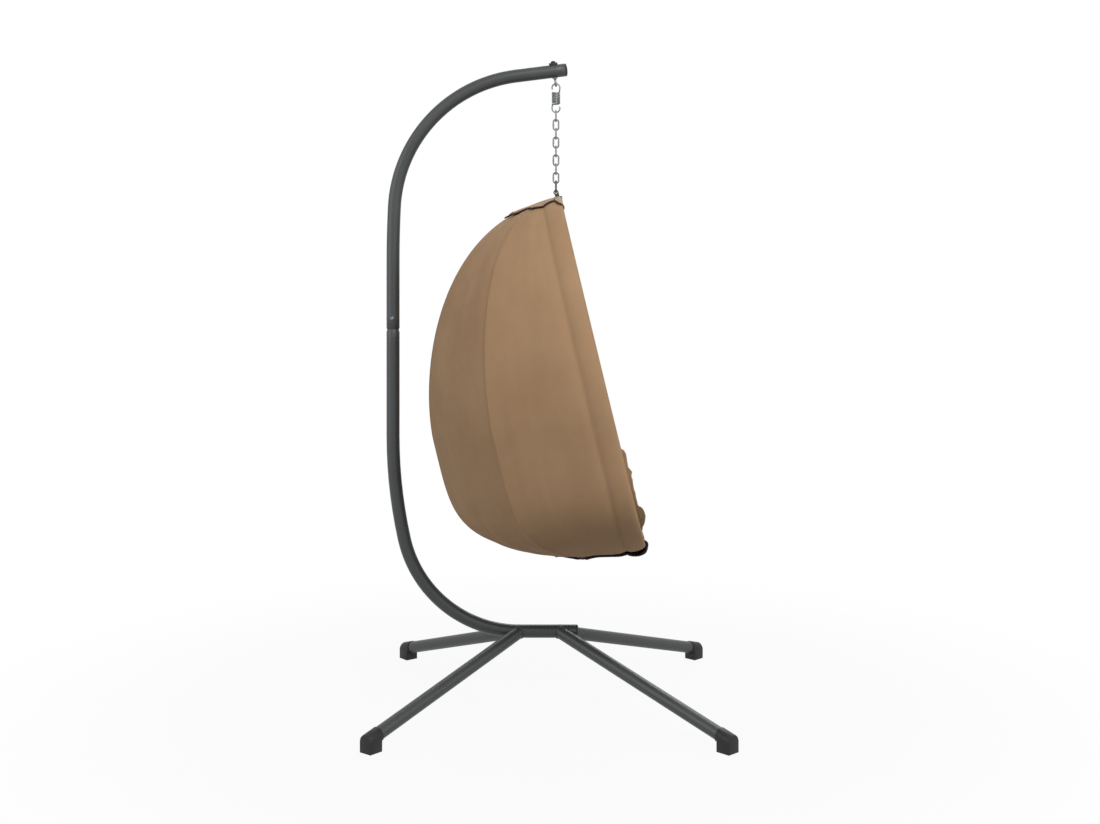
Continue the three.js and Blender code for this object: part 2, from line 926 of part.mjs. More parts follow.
// Rings of the cover and the hoops, evenly spaced along the outline
function evenAngles( first, last, steps ) {

	const fine = outlineSamples * steps;
	const lengths = [ 0 ];
	for ( let i = 1; i <= fine; i ++ ) {

		const before = outline( first + ( last - first ) * ( i - 1 ) / fine );
		const after = outline( first + ( last - first ) * i / fine );
		lengths.push( lengths[ i - 1 ] + before.distanceTo( after ) );

	}

	const angles = [];
	let i = 0;
	for ( let k = 0; k <= steps; k ++ ) {

		const wanted = lengths[ fine ] * k / steps;
		while ( i < fine - 1 && lengths[ i + 1 ] < wanted ) i ++;
		const share = ( wanted - lengths[ i ] ) / ( lengths[ i + 1 ] - lengths[ i ] );
		angles.push( first + ( last - first ) * ( i + share ) / fine );

	}

	return angles;

}

const podAngles = evenAngles( angleAt( coverStart, false ), angleAt( coverStart, true ), podSteps );

class HoopPath extends StationPath {

	constructor( angles ) {

		super();
		this.angles = angles;

	}

	getPoint( t ) {

		const station = t * ( this.angles.length - 1 );
		const first = Math.min( Math.floor( station ), this.angles.length - 2 );
		const share = station - first;
		const angle = this.angles[ first ] * ( 1 - share ) + this.angles[ first + 1 ] * share;
		const point = insetOutline( angle, hoopInset );
		return new THREE.Vector3( 0, point.x, point.y );

	}

}

// Tab: a flat strip with an eye for the pivot pin, lying along +Y
function tab( height ) {

	const shape = new THREE.Shape();
	const half = tabWidth / 2;
	const meet = Math.asin( half / tabEyeRadius );
	shape.moveTo( half, tabReach );
	shape.lineTo( - half, tabReach );
	shape.absarc( 0, 0, tabEyeRadius, Math.PI / 2 + meet, Math.PI / 2 - meet + 2 * Math.PI, false );
	shape.closePath();
	shape.holes.push( new THREE.Path( roundShape( pinRadius + seatGap, roundSides ).getPoints() ) );
	const strip = new THREE.ExtrudeGeometry( shape,
		{ depth: tabThick, bevelEnabled: false, curveSegments: tabArcSegments } );
	strip.translate( 0, 0, height - tabThick / 2 );
	return strip;

}

const topStack = insetOutline( angleAt( tubeStart, false ), hoopInset ).y - tabSink;
const lowStack = insetOutline( angleAt( tubeStart, true ), hoopInset ).y + tabSink;

function hoop( level ) {

	const inner = podAngles.filter( ( angle ) => outline( angle ).x > tubeStart + 2 * hoopRadius );
	const angles = [ angleAt( tubeStart, false ), ...inner, angleAt( tubeStart, true ) ];
	const path = new HoopPath( angles );
	const section = tubeShape( hoopRadius, hoopRadius - hoopWall, hoopSides, hoopBoreSides );
	return join( [
		sweep( path, section, angles.length - 1 ),
		tab( topStack + level * tabPitch ),
		tab( lowStack - level * tabPitch ),
	] );

}

const hoops = [
	[ 'left_rim_hoop', - rimTurn, 2 ], [ 'left_mid_hoop', - midTurn, 1 ], [ 'rear_hoop', 0, 0 ],
	[ 'right_mid_hoop', midTurn, - 1 ], [ 'right_rim_hoop', rimTurn, - 2 ],
];
for ( const [ name, turn, level ] of hoops ) {

	addPiece( name, hoop( level ), paintedSteel, pod ).rotation.z = - turn;

}

// Hubs: the upper one has the lug that hangs in the loop
const hubFace = topStack + stackHalf + tabGap;
const lowHubFace = lowStack - stackHalf - tabGap;

function topHub() {

	const lugY = lugForward * Math.cos( podTilt ) - lugRise * Math.sin( podTilt );
	const lugZ = lugForward * Math.sin( podTilt ) + lugRise * Math.cos( podTilt );
	const disc = rod( new THREE.Vector3( 0, 0, hubFace ), new THREE.Vector3( 0, 0, hubFace + hubHeight ),
		hubRadius, tubeSides );
	const half = lugThick / 2;
	const head = rod( new THREE.Vector3( - half, lugY, lugZ ), new THREE.Vector3( half, lugY, lugZ ),
		lugRadius, tubeSides );
	const neck = box(
		new THREE.Vector3( - half, lugY - lugRadius, hubFace + hubHeight / 2 ),
		new THREE.Vector3( half, lugY + lugRadius * Math.SQRT1_2, lugZ ) );
	const eye = rod(
		new THREE.Vector3( - lugThick, lugY, lugZ ), new THREE.Vector3( lugThick, lugY, lugZ ),
		loopWire / 2 + lugPlay, tubeSides );
	const seat = rod(
		new THREE.Vector3( 0, 0, hubFace - cutOverrun ), new THREE.Vector3( 0, 0, hubFace + pinSeatDepth ),
		pinRadius + seatGap );
	return cut( join( [ disc, head, neck ] ), [ eye, seat ] );

}

function lowHub() {

	const disc = rod( new THREE.Vector3( 0, 0, lowHubFace - hubHeight ), new THREE.Vector3( 0, 0, lowHubFace ),
		hubRadius, tubeSides );
	const seat = rod(
		new THREE.Vector3( 0, 0, lowHubFace - pinSeatDepth ), new THREE.Vector3( 0, 0, lowHubFace + cutOverrun ),
		pinRadius + seatGap );
	return cut( disc, [ seat ] );

}

// Pivot pin through the five tabs, its head inside the pod
const pinLength = 2 * stackHalf + 2 * tabGap + pinSeatDepth - seatGap;
addPiece( 'top_hub', topHub(), blackSteel, pod );
addPiece( 'bottom_hub', lowHub(), blackSteel, pod );
addPiece( 'top_pivot_pin', domedBolt( pinRadius, pinHeadRadius, pinHeadHeight, pinLength ), zincSteel, pod )
	.position.z = topStack - stackHalf - tabGap;
const lowPin = addPiece( 'bottom_pivot_pin',
	domedBolt( pinRadius, pinHeadRadius, pinHeadHeight, pinLength ), zincSteel, pod );
lowPin.position.z = lowStack + stackHalf + tabGap;
lowPin.rotation.x = Math.PI;

// A closed sheet from two layers of points: pointAt( column, row, layer ), layer 0 inside and 1 outside
function closedSheet( columns, rows, pointAt ) {

	const positions = [];
	const index = [];
	const at = ( column, row, layer ) => ( layer * ( rows + 1 ) + row ) * ( columns + 1 ) + column;
	for ( const layer of [ 0, 1 ] ) {

		for ( let row = 0; row <= rows; row ++ ) {

			for ( let column = 0; column <= columns; column ++ ) {

				positions.push( ...pointAt( column, row, layer ).toArray() );

			}

		}

	}

	const quad = ( a, b, c, d ) => index.push( a, c, b, a, d, c );
	for ( let row = 0; row < rows; row ++ ) {

		for ( let column = 0; column < columns; column ++ ) {

			quad( at( column, row, 0 ), at( column + 1, row, 0 ),
				at( column + 1, row + 1, 0 ), at( column, row + 1, 0 ) );
			quad( at( column, row, 1 ), at( column, row + 1, 1 ),
				at( column + 1, row + 1, 1 ), at( column + 1, row, 1 ) );

		}

		quad( at( 0, row, 0 ), at( 0, row + 1, 0 ), at( 0, row + 1, 1 ), at( 0, row, 1 ) );
		quad( at( columns, row, 1 ), at( columns, row + 1, 1 ),
			at( columns, row + 1, 0 ), at( columns, row, 0 ) );

	}

	for ( let column = 0; column < columns; column ++ ) {

		quad( at( column, 0, 1 ), at( column + 1, 0, 1 ), at( column + 1, 0, 0 ), at( column, 0, 0 ) );
		quad( at( column, rows, 0 ), at( column + 1, rows, 0 ),
			at( column + 1, rows, 1 ), at( column, rows, 1 ) );

	}

	const geometry = new THREE.BufferGeometry();
	geometry.setAttribute( 'position', new THREE.Float32BufferAttribute( positions, 3 ) );
	geometry.setIndex( index );
	geometry.computeVertexNormals();
	return geometry;

}

// A point of the cover: the cloth is drawn in between one hoop and the next
function coverPoint( angle, turn, inset, panel ) {

	const point = insetOutline( angle, inset );
	const share = ( turn - panel.from ) / ( panel.to - panel.from );
	const radius = point.x * ( 1 - panel.sag * Math.sin( Math.PI * share ) );
	return new THREE.Vector3( radius * Math.sin( turn ), radius * Math.cos( turn ), point.y );

}

const panels = [
	{ name: 'left_front_panel', from: - rimTurn, to: - midTurn, sag: frontSagShare },
	{ name: 'left_back_panel', from: - midTurn, to: 0, sag: backSagShare },
	{ name: 'right_back_panel', from: 0, to: midTurn, sag: backSagShare },
	{ name: 'right_front_panel', from: midTurn, to: rimTurn, sag: frontSagShare },
];

function coverPanel( panel ) {

	const seam = seatGap / 2;
	return closedSheet( coverColumns, podSteps, ( column, row, layer ) => {

		const turn = panel.from + ( panel.to - panel.from ) * column / coverColumns;
		const point = coverPoint( podAngles[ row ], turn, coverInset - layer * clothThick, panel );
		const side = column === 0 ? 1 : column === coverColumns ? - 1 : 0;
		point.x += side * seam * Math.cos( turn );
		point.y -= side * seam * Math.sin( turn );
		return point;

	} );

}

for ( const panel of panels ) addPiece( panel.name, coverPanel( panel ), taupeCloth, pod );

// Caps of cloth over both ends of the pod, from rim to rim
function endCap( low ) {

	const columns = panels.length * coverColumns;
	return closedSheet( columns, capRows, ( column, row, layer ) => {

		const panel = panels[ Math.min( Math.floor( column / coverColumns ), panels.length - 1 ) ];
		const turn = panel.from + ( panel.to - panel.from ) * ( column / coverColumns - panels.indexOf( panel ) );
		const angle = podAngles[ low ? podSteps - capRows + row : row ];
		const inset = coverInset - clothThick - capLift - layer * clothThick;
		return coverPoint( angle, turn, inset, panel );

	} );

}

addPiece( 'top_cap', endCap( false ), taupeCloth, pod );
addPiece( 'bottom_cap', endCap( true ), taupeCloth, pod );

// Cushions stay inside the hoops and inside the drawn-in cloth between them
function drawnIn( turn ) {

	const panel = panels.find( ( one ) => turn >= one.from && turn <= one.to );
	if ( ! panel ) return 1;
	return 1 - panel.sag * Math.sin( Math.PI * ( turn - panel.from ) / ( panel.to - panel.from ) );

}

// The last point inside the hoops, going down the outline, for which a test still holds
function lastInside( from, play, test ) {

	const inset = hoopInset + hoopRadius + play;
	let low = from;
	let high = angleAt( tubeStart, true );
	for ( let i = 0; i < bisections; i ++ ) {

		const middle = ( low + high ) / 2;
		if ( test( insetOutline( middle, inset ) ) ) {

			low = middle;

		} else {

			high = middle;

		}

	}

	return insetOutline( low, inset );

}

// Room for a cushion: how far out it can reach at a height, and how low it can lie at a radius
function reachAtHeight( height, play ) {

	return lastInside( angleAt( tubeStart, false ), play, ( point ) => point.y > height ).x;

}

function floorAtRadius( radius, play ) {

	return lastInside( Math.PI / 2, play, ( point ) => point.x > radius ).y;

}

// Seat cushion: a round pad with a straight front, crowned above, its underside laid in the pod's bowl
function seatCushion() {

	const seam = - podLength * seatSeamShare;
	const pinTop = lowStack + stackHalf + tabGap + pinHeadHeight;
	const round = reachAtHeight( seam, seatPlay );
	const reach = ( turn ) => {

		const ahead = - Math.cos( turn );
		const side = drawnIn( turn > Math.PI ? turn - 2 * Math.PI : turn ) * round;
		return ahead > 0 ? Math.min( side, seatFront / ahead ) : side;

	};

	const crown = ( share ) => Math.pow( 1 - Math.pow( share, seatFullness ), 1 / 2 );
	const ringShares = [];
	for ( let i = 1; i <= seatRings; i ++ ) {

		ringShares.push( Math.sin( Math.PI / 2 * i / seatRings ) );

	}

	const positions = [ 0, 0, seam + seatRise ];
	const addPoint = ( turn, share, height ) => {

		const out = reach( turn ) * share;
		positions.push( out * Math.sin( turn ), out * Math.cos( turn ), height );

	};

	const turns = [];
	for ( let k = 0; k < seatSpokes; k ++ ) {

		turns.push( k / seatSpokes * 2 * Math.PI );

	}

	for ( const share of ringShares ) {

		const height = seam + seatEdge + ( seatRise - seatEdge ) * crown( share );
		for ( const turn of turns ) addPoint( turn, share, height );

	}

	for ( const share of [ ...ringShares ].reverse() ) {

		const pad = Math.max( seam - seatEdge - ( seatDrop - seatEdge ) * crown( share ), pinTop + seatPlay );
		for ( const turn of turns ) {

			addPoint( turn, share, Math.max( pad, floorAtRadius( reach( turn ) * share, seatPlay ) ) );

		}

	}

	positions.push( 0, 0, Math.max( seam - seatDrop, pinTop + seatPlay ) );
	const rings = 2 * seatRings;
	const index = [];
	const at = ( ring, k ) => 1 + ring * seatSpokes + k % seatSpokes;
	const last = 1 + rings * seatSpokes;
	for ( let k = 0; k < seatSpokes; k ++ ) {

		index.push( 0, at( 0, k + 1 ), at( 0, k ) );
		for ( let ring = 0; ring < rings - 1; ring ++ ) {

			index.push( at( ring, k ), at( ring, k + 1 ), at( ring + 1, k + 1 ) );
			index.push( at( ring, k ), at( ring + 1, k + 1 ), at( ring + 1, k ) );

		}

		index.push( last, at( rings - 1, k ), at( rings - 1, k + 1 ) );

	}

	const geometry = new THREE.BufferGeometry();
	geometry.setAttribute( 'position', new THREE.Float32BufferAttribute( positions, 3 ) );
	geometry.setIndex( index );
	geometry.computeVertexNormals();
	return geometry;

}

// Back cushion: a pad that wraps round inside the hoops, high at the back and low at its two wings
function backCushion() {

	const bottomShare = seatSeamShare - ( seatRise + restGap ) / podLength;
	return closedSheet( backColumns, backRows, ( column, row, layer ) => {

		const across = 2 * column / backColumns - 1;
		const turn = backTurn * across;
		const rise = 1 - row / backRows;
		const topShare = backTopShare + ( wingTopShare - backTopShare ) * across * across;
		const share = bottomShare + ( topShare - bottomShare ) * rise;
		const outer = reachAtHeight( - podLength * share, backPlay ) * drawnIn( turn );
		const rowEdge = Math.min( 1, backFullness * Math.sin( Math.PI * rise ) );
		const sideEdge = Math.min( 1, backFullness * ( 1 - Math.abs( across ) ) );
		const full = backThick + ( wingThick - backThick ) * across * across;
		const thick = backEdgeThick + ( full - backEdgeThick ) * Math.sqrt( rowEdge * sideEdge );
		const radius = layer === 1 ? outer : outer - thick;
		return new THREE.Vector3( radius * Math.sin( turn ), radius * Math.cos( turn ), - podLength * share );

	} );

}

addPiece( 'seat_cushion', seatCushion(), cushionCloth, pod );
addPiece( 'back_cushion', backCushion(), cushionCloth, pod );

export default chair;
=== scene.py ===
import math

import bmesh
import bpy
import numpy as np
from mathutils import Euler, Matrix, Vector, noise
from mathutils.bvhtree import BVHTree


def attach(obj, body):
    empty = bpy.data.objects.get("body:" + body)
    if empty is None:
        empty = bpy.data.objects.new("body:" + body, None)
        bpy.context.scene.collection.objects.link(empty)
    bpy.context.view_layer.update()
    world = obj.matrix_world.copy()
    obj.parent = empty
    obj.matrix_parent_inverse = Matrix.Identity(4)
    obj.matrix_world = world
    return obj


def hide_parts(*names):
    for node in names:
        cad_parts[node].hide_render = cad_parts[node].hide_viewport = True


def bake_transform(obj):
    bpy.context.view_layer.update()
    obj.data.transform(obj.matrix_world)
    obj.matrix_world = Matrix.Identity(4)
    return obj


# A pod chair: a cloth pod on a folding fan of hoops, hung by a chain and a spring from a bent steel stand.
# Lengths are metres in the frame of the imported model, and millimetres where a comment or MM says so.
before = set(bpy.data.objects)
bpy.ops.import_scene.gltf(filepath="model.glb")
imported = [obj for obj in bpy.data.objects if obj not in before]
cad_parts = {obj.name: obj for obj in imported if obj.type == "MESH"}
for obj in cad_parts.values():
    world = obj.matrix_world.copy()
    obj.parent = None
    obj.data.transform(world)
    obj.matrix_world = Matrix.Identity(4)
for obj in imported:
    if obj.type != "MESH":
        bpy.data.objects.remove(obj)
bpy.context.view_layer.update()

MM = 0.001
scene = bpy.context.scene


# Materials

class Nodes:
    """Short names for building the node tree of a material or of the world."""

    def __init__(self, owner):
        owner.use_nodes = True
        self.owner = owner
        self.tree = owner.node_tree

    def feed(self, slot, value):
        """An output is linked to the slot, and a constant is set on it."""
        if isinstance(value, bpy.types.NodeSocket):
            self.tree.links.new(value, slot)
        else:
            slot.default_value = value

    def add(self, kind, inputs, **settings):
        node = self.tree.nodes.new("ShaderNode" + kind)
        for key, value in settings.items():
            setattr(node, key, value)
        for key, value in inputs.items():
            self.feed(node.inputs[key], value)
        return node

    def place(self, kind="Object"):
        return self.add("TexCoord", {}).outputs[kind]

    def split(self, vector):
        return list(self.add("SeparateXYZ", {0: vector}).outputs)

    def noise(self, where, scale, detail=3.0, rough=0.6, stretch=None):
        if stretch:
            where = self.add("Mapping", {"Vector": where, "Scale": stretch}).outputs[0]
        inputs = {"Vector": where, "Scale": scale, "Detail": detail, "Roughness": rough}
        return self.add("TexNoise", inputs).outputs["Fac"]

    def ramp(self, source, *stops):
        """A band of colour between two stops, each a place and a colour."""
        node = self.add("ValToRGB", {0: source})
        for element, stop in zip(node.color_ramp.elements, stops):
            element.position, element.color = stop
        return node.outputs[0]

    def range(self, source, low, high, to_low, to_high, **settings):
        inputs = {"Value": source, "From Min": low, "From Max": high, "To Min": to_low, "To Max": to_high}
        return self.add("MapRange", inputs, **settings).outputs["Result"]

    def maths(self, operation, *values):
        return self.add("Math", dict(enumerate(values)), operation=operation).outputs[0]

    def mix(self, share, a, b):
        return self.add("Mix", {"Factor": share, 6: a, 7: b}, data_type="RGBA").outputs[2]

    def bump(self, height, strength, distance, under=None):
        inputs = {"Height": height, "Strength": strength, "Distance": distance}
        if under is not None:
            inputs["Normal"] = under
        return self.add("Bump", inputs).outputs[0]

    def finish(self, colour, rough, normal, **constants):
        inputs = {"Base_Color": colour, "Roughness": rough, "Normal": normal, **constants}
        shader = self.tree.nodes["Principled BSDF"]
        for key, value in inputs.items():
            self.feed(shader.inputs[key.replace("_", " ")], value)
        return self.owner


def srgb(r, g, b):
    """A colour as it is seen on the screen, 0 to 255, as linear light."""
    out = [x / 255 / 12.92 if x <= 10 else ((x / 255 + 0.055) / 1.055) ** 2.4 for x in (r, g, b)]
    return (*out, 1.0)


def new_nodes(name):
    return Nodes(bpy.data.materials.new(name))


def powder_coat():
    n = new_nodes("powder_coat")
    where = n.place()
    grain = n.noise(where, 900, 2, 0.5)
    peel = n.noise(where, 260, 2, 0.5)
    cloudy = n.noise(where, 7, 4)
    scuffs = n.noise(where, 38, 5, 0.65, (1.0, 1.0, 0.35))
    base = n.ramp(cloudy, (0.3, srgb(51, 54, 55)), (0.7, srgb(58, 61, 62)))
    fleck = n.ramp(grain, (0.42, srgb(0, 0, 0)), (0.72, srgb(255, 255, 255)))
    base = n.mix(n.maths("MULTIPLY", fleck, 0.03), base, srgb(112, 115, 118))
    base = n.mix(n.range(scuffs, 0.68, 0.76, 0.0, 0.12), base, srgb(108, 111, 112))
    normal = n.bump(grain, 0.05, 0.00005, n.bump(peel, 0.05, 0.0001))
    return n.finish(base, n.range(cloudy, 0.3, 0.7, 0.42, 0.5), normal, Metallic=0.1)


def black_plastic():
    n = new_nodes("black_plastic")
    where = n.place()
    spark = n.noise(where, 1100, 2, 0.5)
    cloudy = n.noise(where, 24, 4)
    base = n.ramp(cloudy, (0.3, srgb(16, 16, 18)), (0.7, srgb(25, 25, 27)))
    base = n.mix(n.range(n.noise(where, 90, 5, 0.7), 0.58, 0.74, 0.0, 0.1), base, srgb(76, 74, 72))
    rough = n.range(cloudy, 0.3, 0.7, 0.46, 0.58)
    return n.finish(base, rough, n.bump(spark, 0.3, 0.00015), Specular_IOR_Level=0.35)


def mottled(name, tones, cloud, grain, spots, rough, relief, cloudy_gloss=False, **constants):
    """Two tones in clouds with grains of a third. rough is one value, or what it runs between."""
    n = new_nodes(name)
    where = n.place()
    fine = n.noise(where, *grain)
    cloudy = n.noise(where, *cloud)
    dark, light, spot = tones
    base = n.ramp(cloudy, (0.3, dark), (0.7, light))
    base = n.mix(n.range(fine, *spots), base, spot)
    if isinstance(rough, tuple):
        rough = n.range(cloudy if cloudy_gloss else fine, 0.3, 0.7, *rough)
    return n.finish(base, rough, n.bump(fine, *relief), **constants)


THREAD, STITCH = 0.0011, 0.0042


def weave(n, across, along):
    """Height of a plain weave: warp and weft threads that cross over and under each other."""
    def wave(value, shift=0.0):
        turn = n.maths("MULTIPLY", value, math.pi / THREAD)
        return n.maths("SINE", n.maths("ADD", turn, shift))

    threads = n.maths("ADD", *(n.maths("ABSOLUTE", wave(value)) for value in (across, along)))
    over = n.maths("MULTIPLY", wave(across, math.pi / 2), wave(along, math.pi / 2))
    return n.maths("ADD", threads, n.maths("MULTIPLY", over, 0.6))


def cloth(name, dark, light, warm, cut=True, stitches=()):
    """Woven cloth. In a cut sheet the threads follow its own flat lengths, else three directions of the
    piece. Each of stitches is a row of sewing thread at that distance across the sheet."""
    n = new_nodes(name)
    where = n.place()
    soft = n.noise(where, 3.2, 4, 0.55)
    patch = n.noise(where, 9.0, 4)
    slub = n.noise(where, 600)
    if cut:
        across, along, _ = n.split(n.place("UV"))
        threads = weave(n, across, along)
        streak = n.noise(n.place("UV"), 160, stretch=(1.0, 0.12, 1.0))
    else:
        axes, threads = n.split(where), 0.0
        for i, facing in enumerate(n.split(n.place("Normal"))):
            share = n.maths("POWER", n.maths("ABSOLUTE", facing), 3.0)
            side = n.maths("MULTIPLY", weave(n, *(axes[:i] + axes[i + 1:])), share)
            threads = n.maths("ADD", side, threads)
        streak = n.noise(where, 160, stretch=(1.0, 1.0, 0.12))
    base = n.ramp(soft, (0.12, dark), (0.72, light))
    base = n.mix(n.range(patch, 0.45, 0.75, 0.0, 0.35), base, warm)
    base = n.mix(n.range(streak, 0.35, 0.75, 0.0, 0.16), base, light)
    # painted shade: the colour darkens in the hollows between the threads, where the weave is low
    base = n.mix(n.range(threads, 0.2, 1.6, 0.30, 0.0), base, dark)
    base = n.mix(n.range(slub, 0.6, 0.8, 0.0, 0.18), base, light)
    normal = n.bump(slub, 0.25, 0.0002, n.bump(threads, 0.35, 0.00016))
    for row in stitches:
        near = n.maths("ABSOLUTE", n.maths("SUBTRACT", across, row))
        beat = n.maths("FRACT", n.maths("DIVIDE", along, STITCH))
        dash = n.range(n.maths("ABSOLUTE", n.maths("SUBTRACT", beat, 0.5)), 0.28, 0.36, 1.0, 0.0)
        thread = n.maths("MULTIPLY", n.range(near, 0.0002, 0.00055, 1.0, 0.0), dash)
        base = n.mix(n.maths("MULTIPLY", thread, 0.7), base, light)
        # painted shade: the cloth darkens within about 2 mm of each stitch row, in the dip the sewing pulls
        # in
        base = n.mix(n.range(near, 0.0004, 0.0022, 0.35, 0.0), base, dark)
        normal = n.bump(thread, 0.5, 0.0006, normal)
    sheen = {"Sheen_Weight": 0.08, "Sheen_Roughness": 0.5, "Sheen_Tint": light}
    return n.finish(base, n.range(patch, 0.3, 0.7, 0.78, 0.9), normal, Specular_IOR_Level=0.25, **sheen)


POWDER = powder_coat()
PLASTIC = black_plastic()
ZINC = mottled("zinc", (srgb(104, 107, 109), srgb(134, 137, 140), srgb(92, 92, 90)), (60, 4), (420,),
               (0.55, 0.75, 0.0, 0.35), (0.28, 0.48), (0.18, 0.0001), Metallic=0.6)
LOOP = mottled("loop_steel", (srgb(58, 62, 60), srgb(82, 86, 84), srgb(120, 122, 120)), (40,), (300, 4, 0.65),
               (0.6, 0.75, 0.0, 0.4), (0.35, 0.55), (0.2, 0.0001), Metallic=0.7)
BLACK_STEEL = mottled("black_steel", (srgb(30, 30, 33), srgb(44, 44, 47), srgb(84, 84, 86)), (50,), (700,),
                      (0.6, 0.8, 0.0, 0.25), (0.36, 0.5), (0.2, 0.00012), cloudy_gloss=True, Metallic=0.3)
BROWN_TAPE = mottled("binding_cloth", (srgb(44, 32, 24), srgb(66, 48, 36), srgb(88, 68, 52)), (40,), (900,),
                     (0.5, 0.75, 0.0, 0.35), 0.85, (0.4, 0.0003), Specular_IOR_Level=0.25)
BLACK_TAPE = mottled("black_binding", (srgb(22, 18, 17), srgb(38, 32, 30), srgb(62, 54, 50)), (40,), (900,),
                     (0.5, 0.75, 0.0, 0.3), 0.85, (0.4, 0.0003), Specular_IOR_Level=0.25)
TONES = (srgb(139, 109, 81), srgb(160, 130, 98), srgb(150, 116, 86))
COVER = cloth("cover_cloth", *TONES)
FRONT_COVER = cloth("front_cover_cloth", *TONES, stitches=(-0.0465, -0.0515))
BACK_COVER = cloth("back_cover_cloth", *TONES, stitches=(-0.0085,))
TAPE_CLOTH = cloth("tape_cloth", *TONES, stitches=(-0.0036, 0.0036))
CUSHION = cloth("cushion_cloth", srgb(141, 112, 84), srgb(163, 134, 103), srgb(152, 119, 90), cut=False)


# Mesh helpers

def smooth(mesh, sharp=None):
    """Smooth shading, with hard edges where faces meet at more than sharp degrees."""
    mesh.polygons.foreach_set("use_smooth", [True] * len(mesh.polygons))
    if sharp:
        mesh.set_sharp_from_angle(angle=math.radians(sharp))


def in_scene(name, mesh, material):
    piece = bpy.data.objects.new(name, mesh)
    scene.collection.objects.link(piece)
    mesh.materials.clear()
    mesh.materials.append(material)
    return piece


def new_piece(name, points, faces, material, sharp=None):
    mesh = bpy.data.meshes.new(name)
    mesh.from_pydata([tuple(p) for p in points], [], faces)
    mesh.validate()
    mesh.update()
    smooth(mesh, sharp)
    return in_scene(name, mesh, material)


def placed(piece, body, node=None):
    """Makes the piece move with the body, and stand for the node."""
    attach(piece, body)
    if node:
        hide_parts(node)


def edited(mesh, *steps):
    """Changes a mesh by bmesh steps, each a function of the open bmesh."""
    work = bmesh.new()
    work.from_mesh(mesh)
    for step in steps:
        step(work)
    work.to_mesh(mesh)
    work.free()


def merge(work, dist):
    bmesh.ops.remove_doubles(work, verts=work.verts, dist=dist)


def face_out(work):
    bmesh.ops.recalc_face_normals(work, faces=work.faces)


def modified(piece, kind, **settings):
    """Adds a modifier to the piece and applies it."""
    modifier = piece.modifiers.new(kind.lower(), kind)
    for key, value in settings.items():
        setattr(modifier, key, value)
    apply_modifiers(piece)


def apply_modifiers(piece):
    bpy.context.view_layer.update()
    graph = bpy.context.evaluated_depsgraph_get()
    done = bpy.data.meshes.new_from_object(piece.evaluated_get(graph))
    old = piece.data
    piece.modifiers.clear()
    piece.data = done
    bpy.data.meshes.remove(old)


def unit(v):
    v = np.asarray(v, float)
    return v / np.linalg.norm(v, axis=-1, keepdims=True)


def ring(centre, first, second, radius, sides):
    """Points round centre, from the direction first towards the direction second."""
    turns = np.arange(sides) / sides * 2 * math.pi
    return centre + radius * (np.cos(turns)[:, None] * first + np.sin(turns)[:, None] * second)


def ringed(name, rings, material, closed=False, sharp=None):
    """A skin over a row of rings, with flat ends unless the row is closed."""
    count, sides = np.shape(rings)[:2]
    faces = []
    for i in range(count if closed else count - 1):
        low, high = i * sides, (i + 1) % count * sides
        for k in range(sides):
            m = (k + 1) % sides
            faces.append((low + k, low + m, high + m, high + k))
    if not closed:
        faces.append(tuple(range(sides - 1, -1, -1)))
        faces.append(tuple(range((count - 1) * sides, count * sides)))
    return new_piece(name, np.reshape(rings, (-1, 3)), faces, material, sharp)


def rings_along(path, radius, sides):
    """Rings of points round a path, with a frame carried along so that they don't twist."""
    path = np.asarray(path, float)
    ahead = unit(np.gradient(path, axis=0))
    side = np.cross(ahead[0], (1, 0, 0) if abs(ahead[0][0]) < 0.9 else (0, 1, 0))
    rings = []
    for point, along, r in zip(path, ahead, np.broadcast_to(radius, len(path))):
        side = unit(side - along * (side @ along))
        rings.append(ring(point, side, np.cross(along, side), r, sides))
    return np.array(rings)


def swept(name, path, radius, sides, material, sharp=50):
    """A solid wire along an open path."""
    return ringed(name, rings_along(path, radius, sides), material, sharp=sharp)


def wire_loop(name, path, radius, sides, material):
    """A wire along a flat closed path."""
    ahead = unit(np.roll(path, -1, axis=0) - np.roll(path, 1, axis=0))
    normal = unit(np.cross(ahead[0], ahead[len(path) // 4]))
    rings = [ring(point, np.cross(normal, along), normal, radius, sides) for point, along in zip(path, ahead)]
    return ringed(name, rings, material, closed=True, sharp=50)


def mouth(end, centre, into, radius, wall, inner_lip, outer_lip):
    """Rings from a little way inside a tube, round the lip of its open end, to its outer face."""
    inner = centre + (end - centre) * ((radius - wall) / radius)
    middle = centre + (end - centre) * ((radius - wall / 2) / radius)
    return [inner + into * 30 * MM, inner + into * inner_lip, middle, end + into * outer_lip]


def open_tube(name, path, radius, wall, sides, material, lip):
    """A tube that is hollow at both ends for a little way, with rounded lips."""
    outer = rings_along(path, radius, sides)
    first, last = [mouth(outer[end], path[end], unit(path[beside] - path[end]), radius, wall, lip, lip)
                   for end, beside in ((0, 1), (-1, -2))]
    return ringed(name, np.concatenate([first, outer[1:-1], last[::-1]]), material, sharp=60)


def lathe(name, profile, base, axis, sides, material):
    """A turned form: profile is (radius, height) pairs in millimetres, along axis from base."""
    turn = Vector((0, 0, 1)).rotation_difference(Vector(axis)).to_matrix()
    points, rows = [], []
    for radius, height in profile:
        # a radius of nothing is one point on the axis
        angles = [k / sides * 2 * math.pi for k in range(sides if radius else 1)]
        rows.append(range(len(points), len(points) + len(angles)))
        for angle in angles:
            place = Vector((radius * math.cos(angle), radius * math.sin(angle), height)) * MM
            points.append(turn @ place + Vector(base))
    faces = []
    for low, high in zip(rows, rows[1:]):
        for k in range(sides):
            m = (k + 1) % sides
            quad = [low[k % len(low)], low[m % len(low)], high[m % len(high)], high[k % len(high)]]
            faces.append(tuple(dict.fromkeys(quad)))
    return new_piece(name, points, [face for face in faces if len(face) > 2], material, sharp=35)


